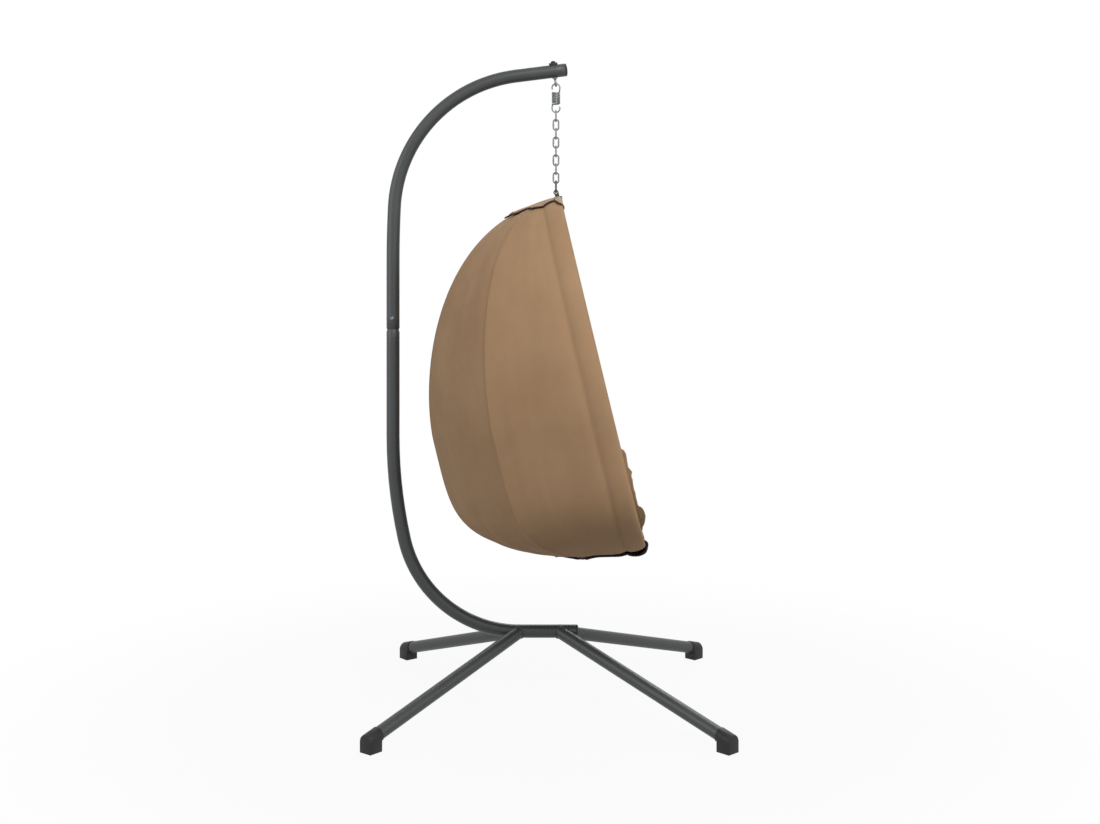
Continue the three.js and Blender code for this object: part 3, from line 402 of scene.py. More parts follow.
def softened(node, material, width, body, angle=32, name=None):
    """A copy of a CAD node with its hard edges rounded off, standing for it."""
    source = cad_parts[node]
    piece = in_scene(name or f"{node}_soft", source.data.copy(), material)
    piece.matrix_world = source.matrix_world.copy()

    def flatten(work):
        flat = math.radians(2)
        bmesh.ops.dissolve_limit(work, angle_limit=flat, verts=work.verts, edges=work.edges)

    edited(piece.data, lambda work: merge(work, 1e-6), flatten)
    modified(piece, "BEVEL", width=width, segments=3, limit_method="ANGLE", angle_limit=math.radians(angle),
             harden_normals=False)
    smooth(piece.data, 40)
    placed(piece, body, node)


def between(x, low, high):
    """How far x is from low to high, from 0 to 1."""
    return np.clip((x - low) / (high - low), 0, 1)


def eased(x):
    return x * x * (3 - 2 * x)


def smooth_step(x, low, high):
    return eased(min(max((x - low) / (high - low), 0.0), 1.0))


def bump_at(x, centre, width):
    return math.exp(-((x - centre) / width) ** 2)


def catmull(points, each):
    """A smooth curve through points, with so many steps between each two."""
    points = np.asarray(points, float)
    ends = np.vstack([2 * points[0] - points[1], points, 2 * points[-1] - points[-2]])
    curve = []
    for i in range(len(points) - 1):
        p0, p1, p2, p3 = ends[i:i + 4]
        for k in range(each):
            t = k / each
            bend = (2 * p0 - 5 * p1 + 4 * p2 - p3) * t * t + (3 * p1 - p0 - 3 * p2 + p3) * t ** 3
            curve.append(0.5 * (2 * p1 + (p2 - p0) * t + bend))
    return np.array(curve + [points[-1]])


# Camera, floor and light

camera = bpy.data.objects.new("camera", bpy.data.cameras.new("camera"))
scene.collection.objects.link(camera)
camera.location = (-4.330, -0.026, 1.288)
camera.rotation_euler = Euler((math.radians(90), 0, math.radians(-90)))
camera.data.sensor_fit = "HORIZONTAL"
camera.data.sensor_width = 36
camera.data.lens = 46.198
# the photo is 1100 wide, and its middle lies beside the camera's axis
camera.data.shift_x = -9.0 / 1100
camera.data.shift_y = -132.0 / 1100
camera.data.clip_start = 0.05
scene.camera = camera
scene.view_settings.view_transform = "Standard"


def seen_white(owner, output, lit, white, fades=None):
    """Light as lit says, but white to the camera and in mirrors, with fades less so near the middle."""
    n = Nodes(owner)
    n.tree.nodes.clear()
    rays = n.add("LightPath", {}).outputs
    share = n.maths("MAXIMUM", rays["Is Camera Ray"], rays["Is Glossy Ray"])
    share = n.maths("MAXIMUM", share, rays["Is Transmission Ray"])
    if fades:
        away = n.add("VectorMath", {0: n.place()}, operation="LENGTH").outputs["Value"]
        share = n.maths("MULTIPLY", share, n.range(away, *fades, interpolation_type="SMOOTHSTEP"))
    kind, *values = lit
    lit = n.add(kind, dict(enumerate(values))).outputs[0]
    white = n.add(white, {0: (1, 1, 1, 1), 1: 1.0}).outputs[0]
    n.add(output, {0: n.add("MixShader", {0: share, 1: lit, 2: white}).outputs[0]})


def floor():
    reach = 30.0
    mesh = bpy.data.meshes.new("floor")
    corners = [(x * reach, y * reach, 0) for x, y in ((-1, -1), (1, -1), (1, 1), (-1, 1))]
    mesh.from_pydata(corners, [], [(0, 1, 2, 3)])
    piece = bpy.data.objects.new("floor", mesh)
    scene.collection.objects.link(piece)
    mesh.materials.append(bpy.data.materials.new("pale_floor"))
    grey = ("BsdfDiffuse", (0.38, 0.38, 0.38, 1))
    seen_white(mesh.materials[0], "OutputMaterial", grey, "Emission", (0.5, 2.2, 0.93, 1.0))


def lamp(name, place, height, size, power, colour=(1, 1, 1)):
    """A round lamp that is aimed at the chair's axis at a height."""
    data = bpy.data.lights.new(name, "AREA")
    data.shape = "DISK"
    data.size = size
    data.energy = power
    data.color = colour
    piece = bpy.data.objects.new(name, data)
    scene.collection.objects.link(piece)
    piece.location = place
    piece.rotation_euler = (Vector((0, 0, height)) - Vector(place)).to_track_quat("-Z", "Y").to_euler()


scene.world = bpy.data.worlds.new("studio")
seen_white(scene.world, "OutputWorld", ("Background", (0.93, 0.96, 1.0, 1), 0.38), "Background")
floor()
lamp("key", (-3.3, -1.3, 4.1), 1.1, 2.6, 142, (1.0, 0.98, 0.95))
lamp("fill", (-2.2, -4.4, 2.2), 0.9, 3.2, 48, (0.97, 0.985, 1.0))
lamp("side", (3.8, -0.6, 3.6), 1.0, 2.8, 105)
lamp("rear", (-2.0, 3.8, 2.2), 1.0, 2.8, 60)


# Stand

TUBE, WALL, TUBE_SIDES = 20 * MM, 2 * MM, 56
MAST_Y, BASE_Z, BASE_Y = 483 * MM, 211 * MM, -80 * MM
SEAM_Z, NECK = 1139.6 * MM, 9.5 * MM
LEG_R, LEG_SIDES = 19 * MM, 48
X_AXIS, Y_AXIS = Vector((1, 0, 0)), Vector((0, 1, 0))


def bent(start_y, start_z, heading, runs):
    """Points and last heading of straight runs (length, 0) and arcs (radius, turn) in the plane X = 0."""
    y, z, angle = start_y, start_z, heading
    points = [(0.0, y, z)]
    for size, turn in runs:
        steps = max(6, int(math.degrees(abs(turn)) / 1.6)) if turn else max(1, int(size / 0.03))
        for i in range(1, steps + 1):
            share = i / steps
            if turn:
                now = angle + turn * share
                move = size * (math.sin(now) - math.sin(angle)), -size * (math.cos(now) - math.cos(angle))
            else:
                move = size * share * math.cos(angle), size * share * math.sin(angle)
            points.append((0.0, y + move[0], z + move[1]))
        y, z = points[-1][1:]
        angle += turn
    return np.array(points), angle


low_turn = math.radians(77.5)
ease_turn = math.radians(90) - low_turn
bend_r, ease_r = 362 * MM, 1455 * MM
rise = bend_r * (1 - math.cos(low_turn)) + ease_r * math.cos(low_turn)
run = bend_r * math.sin(low_turn) + ease_r * (1 - math.sin(low_turn))
mast_path, _ = bent(BASE_Y, BASE_Z, 0.0, [
    (MAST_Y - BASE_Y - run, 0), (bend_r, low_turn), (ease_r, ease_turn), (SEAM_Z - NECK - BASE_Z - rise, 0)])
arm_path, arm_heading = bent(MAST_Y, SEAM_Z, math.radians(90), [
    (1342 * MM - SEAM_Z, 0), (3569 * MM, math.radians(2.7)), (427 * MM, math.radians(80.1)), (153 * MM, 0)])
arm_end = Vector(arm_path[-1])
arm_ahead = Vector((0, math.cos(arm_heading), math.sin(arm_heading)))
arm_down = Vector((0, -arm_ahead.z, arm_ahead.y))
hang_point = arm_end - arm_ahead * 35 * MM

# turned profiles, each a radius and a height in millimetres
PLUG = [(0, -13.5), (17.2, -13.5), (17.6, -13.0), (17.6, 0.35), (19.4, 0.35), (20.0, 0.75), (20.0, 1.3),
        (19.75, 1.7), (19.2, 1.95), (18.9, 2.5), (17.6, 3.5), (15.0, 4.6), (11.5, 5.4), (7.0, 5.95),
        (3.0, 6.15), (0, 6.2)]
BOLT = [(0, -4.0), (2.2, -3.9), (4.2, -3.3), (5.7, -2.1), (6.4, -0.9), (6.6, -0.35), (6.6, 0.0), (4.0, 0.05),
        (4.0, 50.0), (3.4, 50.9), (0, 50.9)]
# the collar under the arm, the rolled thread and the chamfered end of the eye bolt
SHANK = [(0, -26.5), (3.6, -26.5), (4.4, -25.5), (4.2, -24.2), (4.0, -23.4), (7.4, -23.3), (8.0, -22.8),
         (8.0, -20.8), (7.5, -20.35), (4.0, -20.35)]
SHANK += [(4.0 if i % 2 else 3.62, -20.3 + 0.62 * i) for i in range(1, 84)]
SHANK += [(3.4, 31.6), (0, 31.9)]


def mast():
    """The lower tube, which ends in a shoulder, a neck and the spigot inside the arm."""
    neck, spigot = TUBE - 1.5 * MM, 16.6 * MM
    top = [(TUBE, 0), (TUBE - 0.4 * MM, 1.0 * MM), (neck, 2.0 * MM), (neck, NECK - 0.6 * MM),
           (spigot, NECK - 0.3 * MM), (spigot, NECK + 30 * MM)]
    path = np.vstack([mast_path[:-1], [mast_path[-1] + (0, 0, height) for _, height in top]])
    radii = [TUBE] * (len(mast_path) - 1) + [radius for radius, _ in top]
    rings = rings_along(path, radii, TUBE_SIDES)
    start = mouth(rings[0], mast_path[0], np.array(Y_AXIS), TUBE, WALL, 0.5 * MM, 0.6 * MM)
    tube = ringed("lower_mast_tube", np.concatenate([start, rings[1:]]), POWDER, sharp=50)
    placed(tube, "stand", "lower_mast")


def with_halfway(values):
    """Values round a ring, each followed by the one halfway to the next."""
    halfway = (values + np.roll(values, -1, axis=0)) / 2
    return np.stack([values, halfway], axis=1).reshape(-1, *values.shape[1:])


def leg(corner, side, rear):
    """A leg coped to the base tube, with a weld bead round its root and a foot cap."""
    root = np.array((0, 92 * MM if rear else -24 * MM, BASE_Z))
    foot = np.array((side * 495, 501 if rear else -501, 29)) * MM
    ahead = unit(foot - root)
    out_side = unit(np.cross(Y_AXIS, ahead))
    offsets = ring(np.zeros(3), out_side, unit(np.cross(ahead, out_side)), LEG_R, LEG_SIDES)
    # where each line of the tube leaves the base tube
    a = ahead[0] ** 2 + ahead[2] ** 2
    b = 2 * (offsets[:, 0] * ahead[0] + offsets[:, 2] * ahead[2])
    c = offsets[:, 0] ** 2 + offsets[:, 2] ** 2 - (TUBE + 0.35 * MM) ** 2
    coped = (-b + np.sqrt(np.maximum(b * b - 4 * a * c, 0))) / (2 * a)
    straight = np.linspace(coped.max() + 6 * MM, np.linalg.norm(foot - root) - 14 * MM, 13)
    rings = [root + offsets + ahead * np.broadcast_to(at, LEG_SIDES)[:, None] for at in (coped, *straight)]
    placed(ringed(f"{corner}_leg_tube", rings, POWDER, sharp=50), "stand", f"{corner}_leg")

    bead = root + with_halfway(offsets) * 1.02 + ahead * (with_halfway(coped) + 0.6 * MM)[:, None]
    forward = unit(np.roll(bead, -1, axis=0) - np.roll(bead, 1, axis=0))
    rings = []
    for k, (point, along) in enumerate(zip(bead, forward)):
        outward = point - root
        outward = unit(outward - along * (outward @ along))
        radius = (1.9 + 0.35 * math.sin(k * 1.9) + 0.2 * math.sin(k * 4.3 + side)) * MM
        rings.append(ring(point, outward, np.cross(along, outward), radius, 10))
    placed(ringed(f"{corner}_weld", rings, POWDER, closed=True), "stand")
    softened(f"{corner}_foot", PLASTIC, 1.4 * MM, "stand", angle=40)


def stand():
    mast()
    arm = open_tube("upper_arm_tube", arm_path, TUBE, WALL, TUBE_SIDES, POWDER, 0.6 * MM)
    placed(arm, "stand", "upper_arm")
    placed(lathe("arm_plug", PLUG, arm_end, arm_ahead, 48, PLASTIC), "stand", "arm_end_plug")
    placed(lathe("base_plug", PLUG, mast_path[0], -Y_AXIS, 48, PLASTIC), "stand", "base_end_plug")
    # the bolt's head is on the camera's side and its nut on the other
    bolt_at = (-20.3 * MM, MAST_Y, SEAM_Z + 31 * MM)
    placed(lathe("mast_bolt_round", BOLT, bolt_at, X_AXIS, 40, ZINC), "stand", "mast_bolt")
    softened("mast_nut", ZINC, 0.6 * MM, "stand")
    softened("arm_saddle", PLASTIC, 0.9 * MM, "stand")
    softened("eye_nut", PLASTIC, 0.6 * MM, "stand")
    for corner, side, rear in (("rear_left", -1, True), ("rear_right", 1, True),
                               ("front_left", -1, False), ("front_right", 1, False)):
        leg(corner, side, rear)
    placed(lathe("eye_shank", SHANK, hang_point, -arm_down, 32, ZINC), "stand", "eye_bolt")
    # the eye lies across the arm
    eye = ring(np.array(hang_point + arm_down * 35 * MM), np.array(X_AXIS), np.array(arm_down), 10 * MM, 72)
    placed(wire_loop("eye_ring", eye, 3.5 * MM, 24, ZINC), "stand", "eye_bolt")


stand()


# Spring, chain and loop

SWING = Vector((0, -16.680 * MM, 1883.786 * MM))
LINK_Z = [1790.911, 1763.811, 1736.711, 1709.611, 1682.511, 1655.411, 1628.311, 1601.211]
LOOP_Z = 1573.861
LINK_WIRE = 2.5


def spring():
    """A coil with a hook at each end. Sizes are millimetres."""
    wire, radius, pitch, coils, hook, eye_wire = 4.3, 11.3, 4.95, 7.5, 12.0, 7.0
    tip = math.radians(118)
    upper = (eye_wire + wire) / 2 + 0.3 - hook
    coil_top = upper - hook - 3.4 + wire / 2
    coil_low = coil_top - coils * pitch
    lower = coil_low - hook - 3.4 + wire / 2
    turns = [-tip * (1 - i / 10) for i in range(10)] + [math.pi / 2 * i / 8 for i in range(9)]
    stations = [(0, -hook * math.sin(t), upper + hook * math.cos(t)) for t in turns]
    lean = radius / 3
    necks = [0.45, 0.85]
    stations += [(lean * s * s, -radius, upper + (coil_top - upper) * s) for s in necks]
    per_turn = 24
    for i in range(3, int(coils * per_turn) - 2):
        turn = i / per_turn * 2 * math.pi
        stations.append((radius * math.sin(turn), -radius * math.cos(turn), coil_top - pitch * i / per_turn))
    stations += [(lean * s * s, radius, lower + (coil_low - lower) * s) for s in reversed(necks)]
    stations += [(0, hook * math.sin(t), lower - hook * math.cos(t)) for t in reversed(turns)]
    path = catmull(np.array(stations) * MM, 2) + np.array(SWING)
    radii = np.full(len(path), wire / 2 * MM)
    radii[[0, -1]] *= 0.72
    piece = swept("spring_wire", path, radii, 18, ZINC)
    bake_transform(piece)
    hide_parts("spring")


def oval(length, width, steps):
    """The centre line of a link in the plane Y = 0."""
    radius = width / 2
    half = (length - width) / 2
    points = []
    for side in (1, -1):
        for i in range(steps + 1):
            turn = math.pi * i / steps
            points.append((side * radius * math.cos(turn), 0.0, side * (half + radius * math.sin(turn))))
        for i in range(1, 6):
            points.append((-side * radius, 0.0, side * half * (1 - 2 * i / 6)))
    return np.array(points)


def chain():
    for i, height in enumerate(LINK_Z):
        # every second link stands across the one above
        turned = [1, 0, 2] if i % 2 else [0, 1, 2]
        middle = np.array((0, SWING.y, height * MM))
        path = oval(32.5, 16.0, 20)[:, turned] * MM + middle
        wire = wire_loop(f"link_{i + 1}_wire", path, LINK_WIRE * MM, 20, ZINC)
        placed(wire, f"link_{i + 1}", f"chain_link_{i + 1}")
        # the butt weld of the link stands a little proud on one side
        heights = np.linspace(-2.4, 2.4, 11)
        bead = [middle + np.array((8.0, 0, h))[turned] * MM for h in heights]
        radii = (LINK_WIRE + 0.38 * np.sqrt(np.maximum(0, 1 - (heights / 2.4) ** 2))) * MM
        placed(swept(f"link_{i + 1}_weld", bead, radii, 20, ZINC), f"link_{i + 1}")
    path = oval(34.0, 20.0, 24) * MM + (0, SWING.y, LOOP_Z * MM)
    placed(wire_loop("hanger_loop_wire", path, 3.0 * MM, 24, LOOP), "hanger_loop", "hanger_loop")


spring()
chain()


# The pod's outline, in millimetres

POD_LENGTH, POD_RADIUS, WIDEST = 1100.0, 547.0, 0.578
TOP_DROP, TOP_SWELL, LOW_DROP, LOW_SWELL = 1.65, 2.32, 4.6, 1.3
TILT = math.radians(13.7)
MID, RIM = math.radians(52), math.radians(88.7)
HOOP_IN, HOOP_R, HOOP_WALL, HOOP_END = 10.9, 8.0, 1.2, 56.0
TAB_THICK, TAB_PITCH = 2.5, 2.85
POD_AT = np.array((0.0, -22.680, 1540.861))
POD_UP = np.array((0.0, math.sin(TILT), math.cos(TILT)))
POD_BACK = np.array((0.0, math.cos(TILT), -math.sin(TILT)))


def outline(a):
    low = a > math.pi / 2
    drop = abs(math.cos(a)) ** (2 / (LOW_DROP if low else TOP_DROP))
    wide = math.sin(a) ** (2 / (LOW_SWELL if low else TOP_SWELL))
    share = WIDEST + (1 - WIDEST) * drop if low else WIDEST * (1 - drop)
    return np.array((POD_RADIUS * wide, -POD_LENGTH * share))


def inset_outline(a, inset):
    along = unit(outline(a + 4e-4) - outline(a - 4e-4))
    return outline(a) + np.array((along[1], -along[0])) * inset


def angle_at(radius, low):
    a = math.asin((radius / POD_RADIUS) ** ((LOW_SWELL if low else TOP_SWELL) / 2))
    return math.pi - a if low else a


class Arc:
    """The outline by length along it, from the top of the axis to its bottom, moved in by an inset."""

    def __init__(self, inset, start=20.0, count=900):
        self.angles = np.linspace(angle_at(start, False), angle_at(start, True), count)
        self.points = np.array([inset_outline(a, inset) for a in self.angles])
        steps = np.diff([outline(a) for a in self.angles], axis=0)
        self.lengths = np.concatenate([[0], np.cumsum(np.linalg.norm(steps, axis=1))]) + start
        self.total = self.lengths[-1]

    def at(self, length):
        return np.array([np.interp(length, self.lengths, self.points[:, i]) for i in (0, 1)])

    def normal(self, length):
        ahead = unit(self.at(length + 1.5) - self.at(length - 1.5))
        return np.array((-ahead[1], ahead[0]))


def pod_place(across, back, height):
    """From the pod's own axes, in millimetres, to the row frame in metres, for one place or many."""
    ways = ((across, X_AXIS), (back, POD_BACK), (height, POD_UP))
    return (POD_AT + sum(np.multiply.outer(size, np.array(way)) for size, way in ways)) * MM


def pod_point(radius, turn, height):
    """The same from a radius and a turn about the pod's axis. A turn below zero is to the left."""
    return pod_place(radius * np.sin(turn), radius * np.cos(turn), height)


def pod_local(points):
    """Radius, turn and height of points about the pod's axis, in millimetres and radians."""
    away = np.asarray(points, float) / MM - POD_AT
    back = away @ POD_BACK
    return np.hypot(away[:, 0], back), np.arctan2(away[:, 0], back), away @ POD_UP


COVER_ARC = Arc(0.0)
HOOP_ARC = Arc(HOOP_IN, HOOP_END)


def sag(turn):
    """How far the cloth is drawn in between two hoops, as a share of the radius."""
    for low, high, depth in ((0.0, MID, 0.062), (MID, RIM, 0.038)):
        share = (abs(turn) - low) / (high - low)
        if share <= 1:
            return 4 * depth * share * (1 - share)
    return 0.0


def points_of(piece):
    return np.array([v.co for v in piece.data.vertices], float)


def blend_by_turn(piece, first, last, body_a, body_b):
    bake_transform(piece)


# each sector of the cloth with its two turns and the bodies there
SECTORS = {
    "left_front": (-MID, -RIM, "left_mid", "left_rim"),
    "left_back": (0.0, -MID, "pod", "left_mid"),
    "right_back": (0.0, MID, "pod", "right_mid"),
    "right_front": (MID, RIM, "right_mid", "right_rim"),
}


# Hoops, hubs and pins

def tab_stack(low):
    """Height of the rear hoop's tab, the middle one of the stack on a pivot pin."""
    return inset_outline(angle_at(HOOP_END, low), HOOP_IN)[1] + (1.5 if low else -1.5)


def tab(name, turn, height, body):
    """A flat strip with an eye for the pivot pin, its edges eased, pressed flat out of the tube's end."""
    half, reach, eye, hole, ease = 7.0, 66.0, 10.0, 4.3, 0.35
    meet = math.asin(half / eye)
    angles = math.pi / 2 + meet + (2 * math.pi - 2 * meet) * np.arange(41) / 40
    round_eye = eye * np.column_stack([np.cos(angles), np.sin(angles)])
    outer = np.vstack([(half, reach), (-half, reach), round_eye])
    inner = ring(np.zeros(2), np.array((1, 0)), np.array((0, 1)), hole, 32)
    work = bmesh.new()
    flat_edges = ([], [])
    for line, drawn in ((outer, outer + unit(outer.mean(axis=0) - outer) * ease), (inner, inner * 1.06)):
        rows = []
        for points, z in ((drawn, -TAB_THICK / 2), (line, ease - TAB_THICK / 2),
                          (line, TAB_THICK / 2 - ease), (drawn, TAB_THICK / 2)):
            rows.append([work.verts.new((x, y, z)) for x, y in points])
        for low, high in zip(rows, rows[1:]):
            for quad in zip(low, low[1:] + low[:1], high[1:] + high[:1], high):
                work.faces.new(quad)
        for edges, row in zip(flat_edges, (rows[0], rows[-1])):
            edges += [work.edges.get(pair) for pair in zip(row, row[1:] + row[:1])]
    for edges in flat_edges:
        bmesh.ops.triangle_fill(work, edges=edges, use_beauty=True)
    face_out(work)
    for v in work.verts:
        # x lies across the strip, and y along it from the pin
        x, y, z = v.co
        across = y * math.sin(turn) + x * math.cos(turn)
        v.co = pod_place(across, y * math.cos(turn) - x * math.sin(turn), height + z)
    mesh = bpy.data.meshes.new(name)
    work.to_mesh(mesh)
    work.free()
    smooth(mesh, 40)
    placed(in_scene(name, mesh, POWDER), body)


# each hoop with its turn, its body and its level in the stacks of tabs
HOOPS = [("left_rim_hoop", -RIM, "left_rim", 2), ("left_mid_hoop", -MID, "left_mid", 1),
         ("rear_hoop", 0.0, "pod", 0), ("right_mid_hoop", MID, "right_mid", -1),
         ("right_rim_hoop", RIM, "right_rim", -2)]


def hoops():
    for name, turn, body, level in HOOPS:
        stations = [HOOP_ARC.at(length) for length in np.linspace(HOOP_ARC.lengths[0], HOOP_ARC.total, 150)]
        path = np.array([pod_point(radius, turn, height) for radius, height in stations])
        tube = open_tube(f"{name}_tube", path, HOOP_R * MM, HOOP_WALL * MM, 28, POWDER, 0.4 * MM)
        placed(tube, body, name)
        tab(f"{name}_top_tab", turn, tab_stack(False) + level * TAB_PITCH, body)
        tab(f"{name}_low_tab", turn, tab_stack(True) - level * TAB_PITCH, body)


hoops()
softened("top_hub", BLACK_STEEL, 0.8 * MM, "pod")
softened("bottom_hub", BLACK_STEEL, 0.8 * MM, "pod")
softened("top_pivot_pin", ZINC, 0.5 * MM, "pod", name="top_pin_soft")
softened("bottom_pivot_pin", ZINC, 0.5 * MM, "pod", name="bottom_pin_soft")


# The cover, in millimetres

CLOTH = 1.4
# short wrinkles across the front panels near the top, and a few low at the back: where each has its middle,
# as a turn and a length along the outline, its half width in turn and in length, and its height
WRINKLES = [(1.20, 335, 0.16, 8, 2.4), (1.28, 362, 0.13, 7, 2.0), (1.22, 388, 0.16, 9, 2.2),
            (0.50, 520, 0.22, 14, 1.6), (0.42, 1180, 0.24, 16, 2.2), (0.62, 1260, 0.2, 14, 2.0),
            (1.15, 1250, 0.16, 12, 1.8), (1.24, 1300, 0.14, 11, 1.6)]


def swell(turn, length):
    """How far the cloth stands out of its drawn-in shape: folds, wrinkles and the rim sleeve."""
    t = abs(turn)
    side = 1.0 if turn < 0 else -1.0
    radius = COVER_ARC.at(length)[0]
    ends = smooth_step(length, 60, 240) * smooth_step(COVER_ARC.total - length, 60, 240)
    away_mid = radius * (t - MID)
    away_rim = radius * (RIM - t)
    out = 0.0
    if t > MID:
        # the sleeve round the rim hoop is sewn down in a soft valley about 48 mm behind it
        band = smooth_step(away_mid, 0, 60)
        out += ends * band * 4.2 * max(0.0, 1 - ((away_rim - 24) / 25) ** 2)
        out += ends * band * 4.0 * smooth_step(away_rim, 48, 76) * smooth_step(-away_rim, -170, -90)
        out -= ends * band * 1.4 * bump_at(away_rim, 48.5, 5)
    if t < MID:
        # the panel behind the mid hoop is drawn in beside the seam
        out -= ends * 1.6 * bump_at(away_mid, -16, 12) * smooth_step(length, 200, 420)
    # soft folds that follow the hoops and gather towards the hubs
    calm = smooth_step(min(abs(away_mid), away_rim - 40, radius * t + 12), 6, 70)
    folds = noise.noise(Vector((turn * 5.5 + 3.1 * side, length * 0.0022, 2.7)))
    folds += 0.5 * noise.noise(Vector((turn * 13.0, length * 0.0042 + side, 7.9)))
    deep = 3.0 + 2.4 * bump_at(t, 0.45, 0.25) * smooth_step(length, 700, 1100)
    out += calm * ends * deep * max(0.0, folds + 0.35)
    for centre, at, wide, tall, height in WRINKLES:
        lean = (t - centre) * 60 * (1 if centre > 1 else -1)
        out += calm * height * bump_at(t, centre, wide) * bump_at(length, at + lean + 6 * side, tall)
    crumple = noise.fractal(Vector((turn * 16.0, length * 0.013, 1.3 + side)), 0.8, 2.2, 3)
    return out + calm * ends * 0.55 * max(0.0, crumple)


def cover_point(turn, length, level, extra=0.0):
    """A point of the cover, level millimetres inside its outer face."""
    point = COVER_ARC.at(length)
    normal = COVER_ARC.normal(length)
    lift = swell(turn, length) + extra - level
    return pod_point(point[0] * (1 - sag(turn)) + normal[0] * lift, turn, point[1] + normal[1] * lift)


def rim_frame(length, turn):
    """The middle of a rim hoop's tube there, the way out of the pod and the way on round the pod's axis."""
    radius, height = inset_outline(np.interp(length, COVER_ARC.lengths, COVER_ARC.angles), HOOP_IN)
    normal = COVER_ARC.normal(length)
    centre = pod_point(radius, turn, height)
    out_dir = (pod_point(radius + normal[0], turn, height + normal[1]) - centre) / MM
    round_dir = (pod_point(1, turn + math.copysign(math.pi / 2, turn), 0) - pod_point(0, 0, 0)) / MM
    return centre, out_dir, round_dir


def sheet_piece(name, rows, material):
    """A closed sheet from rows of points, each of which has an outer, an inner and a flat place."""
    outer, inner, flat = (np.array([[point[i] for point in row] for row in rows]) for i in range(3))
    count = outer.shape[0] * outer.shape[1]
    grid = np.arange(count).reshape(outer.shape[:2])
    faces = list(zip(grid[:-1, :-1].flat, grid[:-1, 1:].flat, grid[1:, 1:].flat, grid[1:, :-1].flat))
    faces += [(a + count, d + count, c + count, b + count) for a, b, c, d in faces]
    edge = [*grid[0], *grid[1:, -1], *grid[-1, -2::-1], *grid[-2:0:-1, 0]]
    faces += [(a, a + count, b + count, b) for a, b in zip(edge, edge[1:] + edge[:1])]
    piece = new_piece(name, np.concatenate([outer, inner]).reshape(-1, 3), faces, material)
    edited(piece.data, face_out)
    smooth(piece.data, 60)
    threads = piece.data.uv_layers.new(name="flat")
    index = np.zeros(len(piece.data.loops), int)
    piece.data.loops.foreach_get("vertex_index", index)
    threads.data.foreach_set("uv", np.tile(flat.reshape(-1, 2), (2, 1))[index].reshape(-1))
    return piece


def cover_panel(name):
    first, last, _, _ = SECTORS[name]
    front = "front" in name
    side = math.copysign(1, last)
    start, end = 27.0, COVER_ARC.total - 7.0
    columns = 56 if front else 44
    # the sleeve goes a little over half a turn round the rim hoop
    wrap, wrap_turn = HOOP_R + CLOTH + 1.0, math.pi * 1.04
    rows = []
    for length in np.linspace(start, end, 140):
        radius = COVER_ARC.at(length)[0]
        seam = side * 0.15 / max(radius, 20)
        turns = first + (last - first) * np.arange(columns + 1) / columns
        turns[0] += seam
        if not front:
            turns[-1] -= seam
        row = []
        for turn in turns:
            flat = (radius * (abs(turn) - abs(last)) * MM, length * MM)
            row.append((cover_point(turn, length, 0.0), cover_point(turn, length, CLOTH), flat))
        if front:
            centre, out_dir, round_dir = rim_frame(length, last)
            across = row[-1][2][0]
            for k in range(1, 13):
                a = math.pi / 2 - wrap_turn * k / 12
                way = (out_dir * math.sin(a) + round_dir * math.cos(a)) * MM
                across += wrap_turn / 12 * wrap * MM
                row.append((centre + way * wrap, centre + way * (wrap - CLOTH), (across, length * MM)))
            # then it runs back to the valley, inside the cloth
            begins = row[-1]
            valley = last - side * 44 / max(radius, 120)
            ends = [cover_point(valley, length, level) for level in (2 * CLOTH + 0.5, CLOTH + 0.3)]
            for k in range(1, 6):
                layers = [begin + (end_at - begin) * k / 5 for begin, end_at in zip(begins, ends)]
                row.append((*layers, (across + 9 * MM * k, length * MM)))
        rows.append(row)
    piece = sheet_piece(f"{name}_cloth", rows, FRONT_COVER if front else BACK_COVER)
    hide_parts(f"{name}_panel")
    blend_by_turn(piece, *SECTORS[name])


def ridge_tape(name, turn, body):
    """A narrow sewn tape over the seam where two panels meet on a hoop."""
    half, thick = 5.0, 0.9
    rows = []
    for length in np.linspace(150, COVER_ARC.total - 180, 150):
        radius = COVER_ARC.at(length)[0]
        row = []
        for k in range(9):
            across = (k / 8 * 2 - 1) * half
            top = 0.15 + thick * (1 - (abs(across) / half) ** 6)
            layers = [cover_point(turn + across / radius, length, 0.0, lift) for lift in (top, 0.12)]
            row.append((*layers, (across * MM, length * MM)))
        rows.append(row)
    piece = sheet_piece(name, rows, TAPE_CLOTH)
    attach(piece, body)
    return piece


left_tape = ridge_tape("left_mid_tape", -MID, "left_mid")
right_tape = ridge_tape("right_mid_tape", MID, "right_mid")
rear_tape = ridge_tape("rear_tape", 0.0, "pod")
cover_panel("left_front")
cover_panel("left_back")
cover_panel("right_back")
cover_panel("right_front")


# Caps with their bound hems, in millimetres and degrees

def top_hem(degrees):
    """Length from the top of the axis to the hem of the upper cap, at a turn from the rear."""
    return 169 + 16 * math.cos(2 * math.pi * (degrees - 67) / 37) + 44 * smooth_step(degrees, 83, 91)


def low_hem(degrees):
    """The same from the bottom of the axis to the hem of the lower cap."""
    return 262 + 14 * math.cos(2 * math.pi * (degrees - 20) / 41) - 52 * smooth_step(degrees, 60, 84)


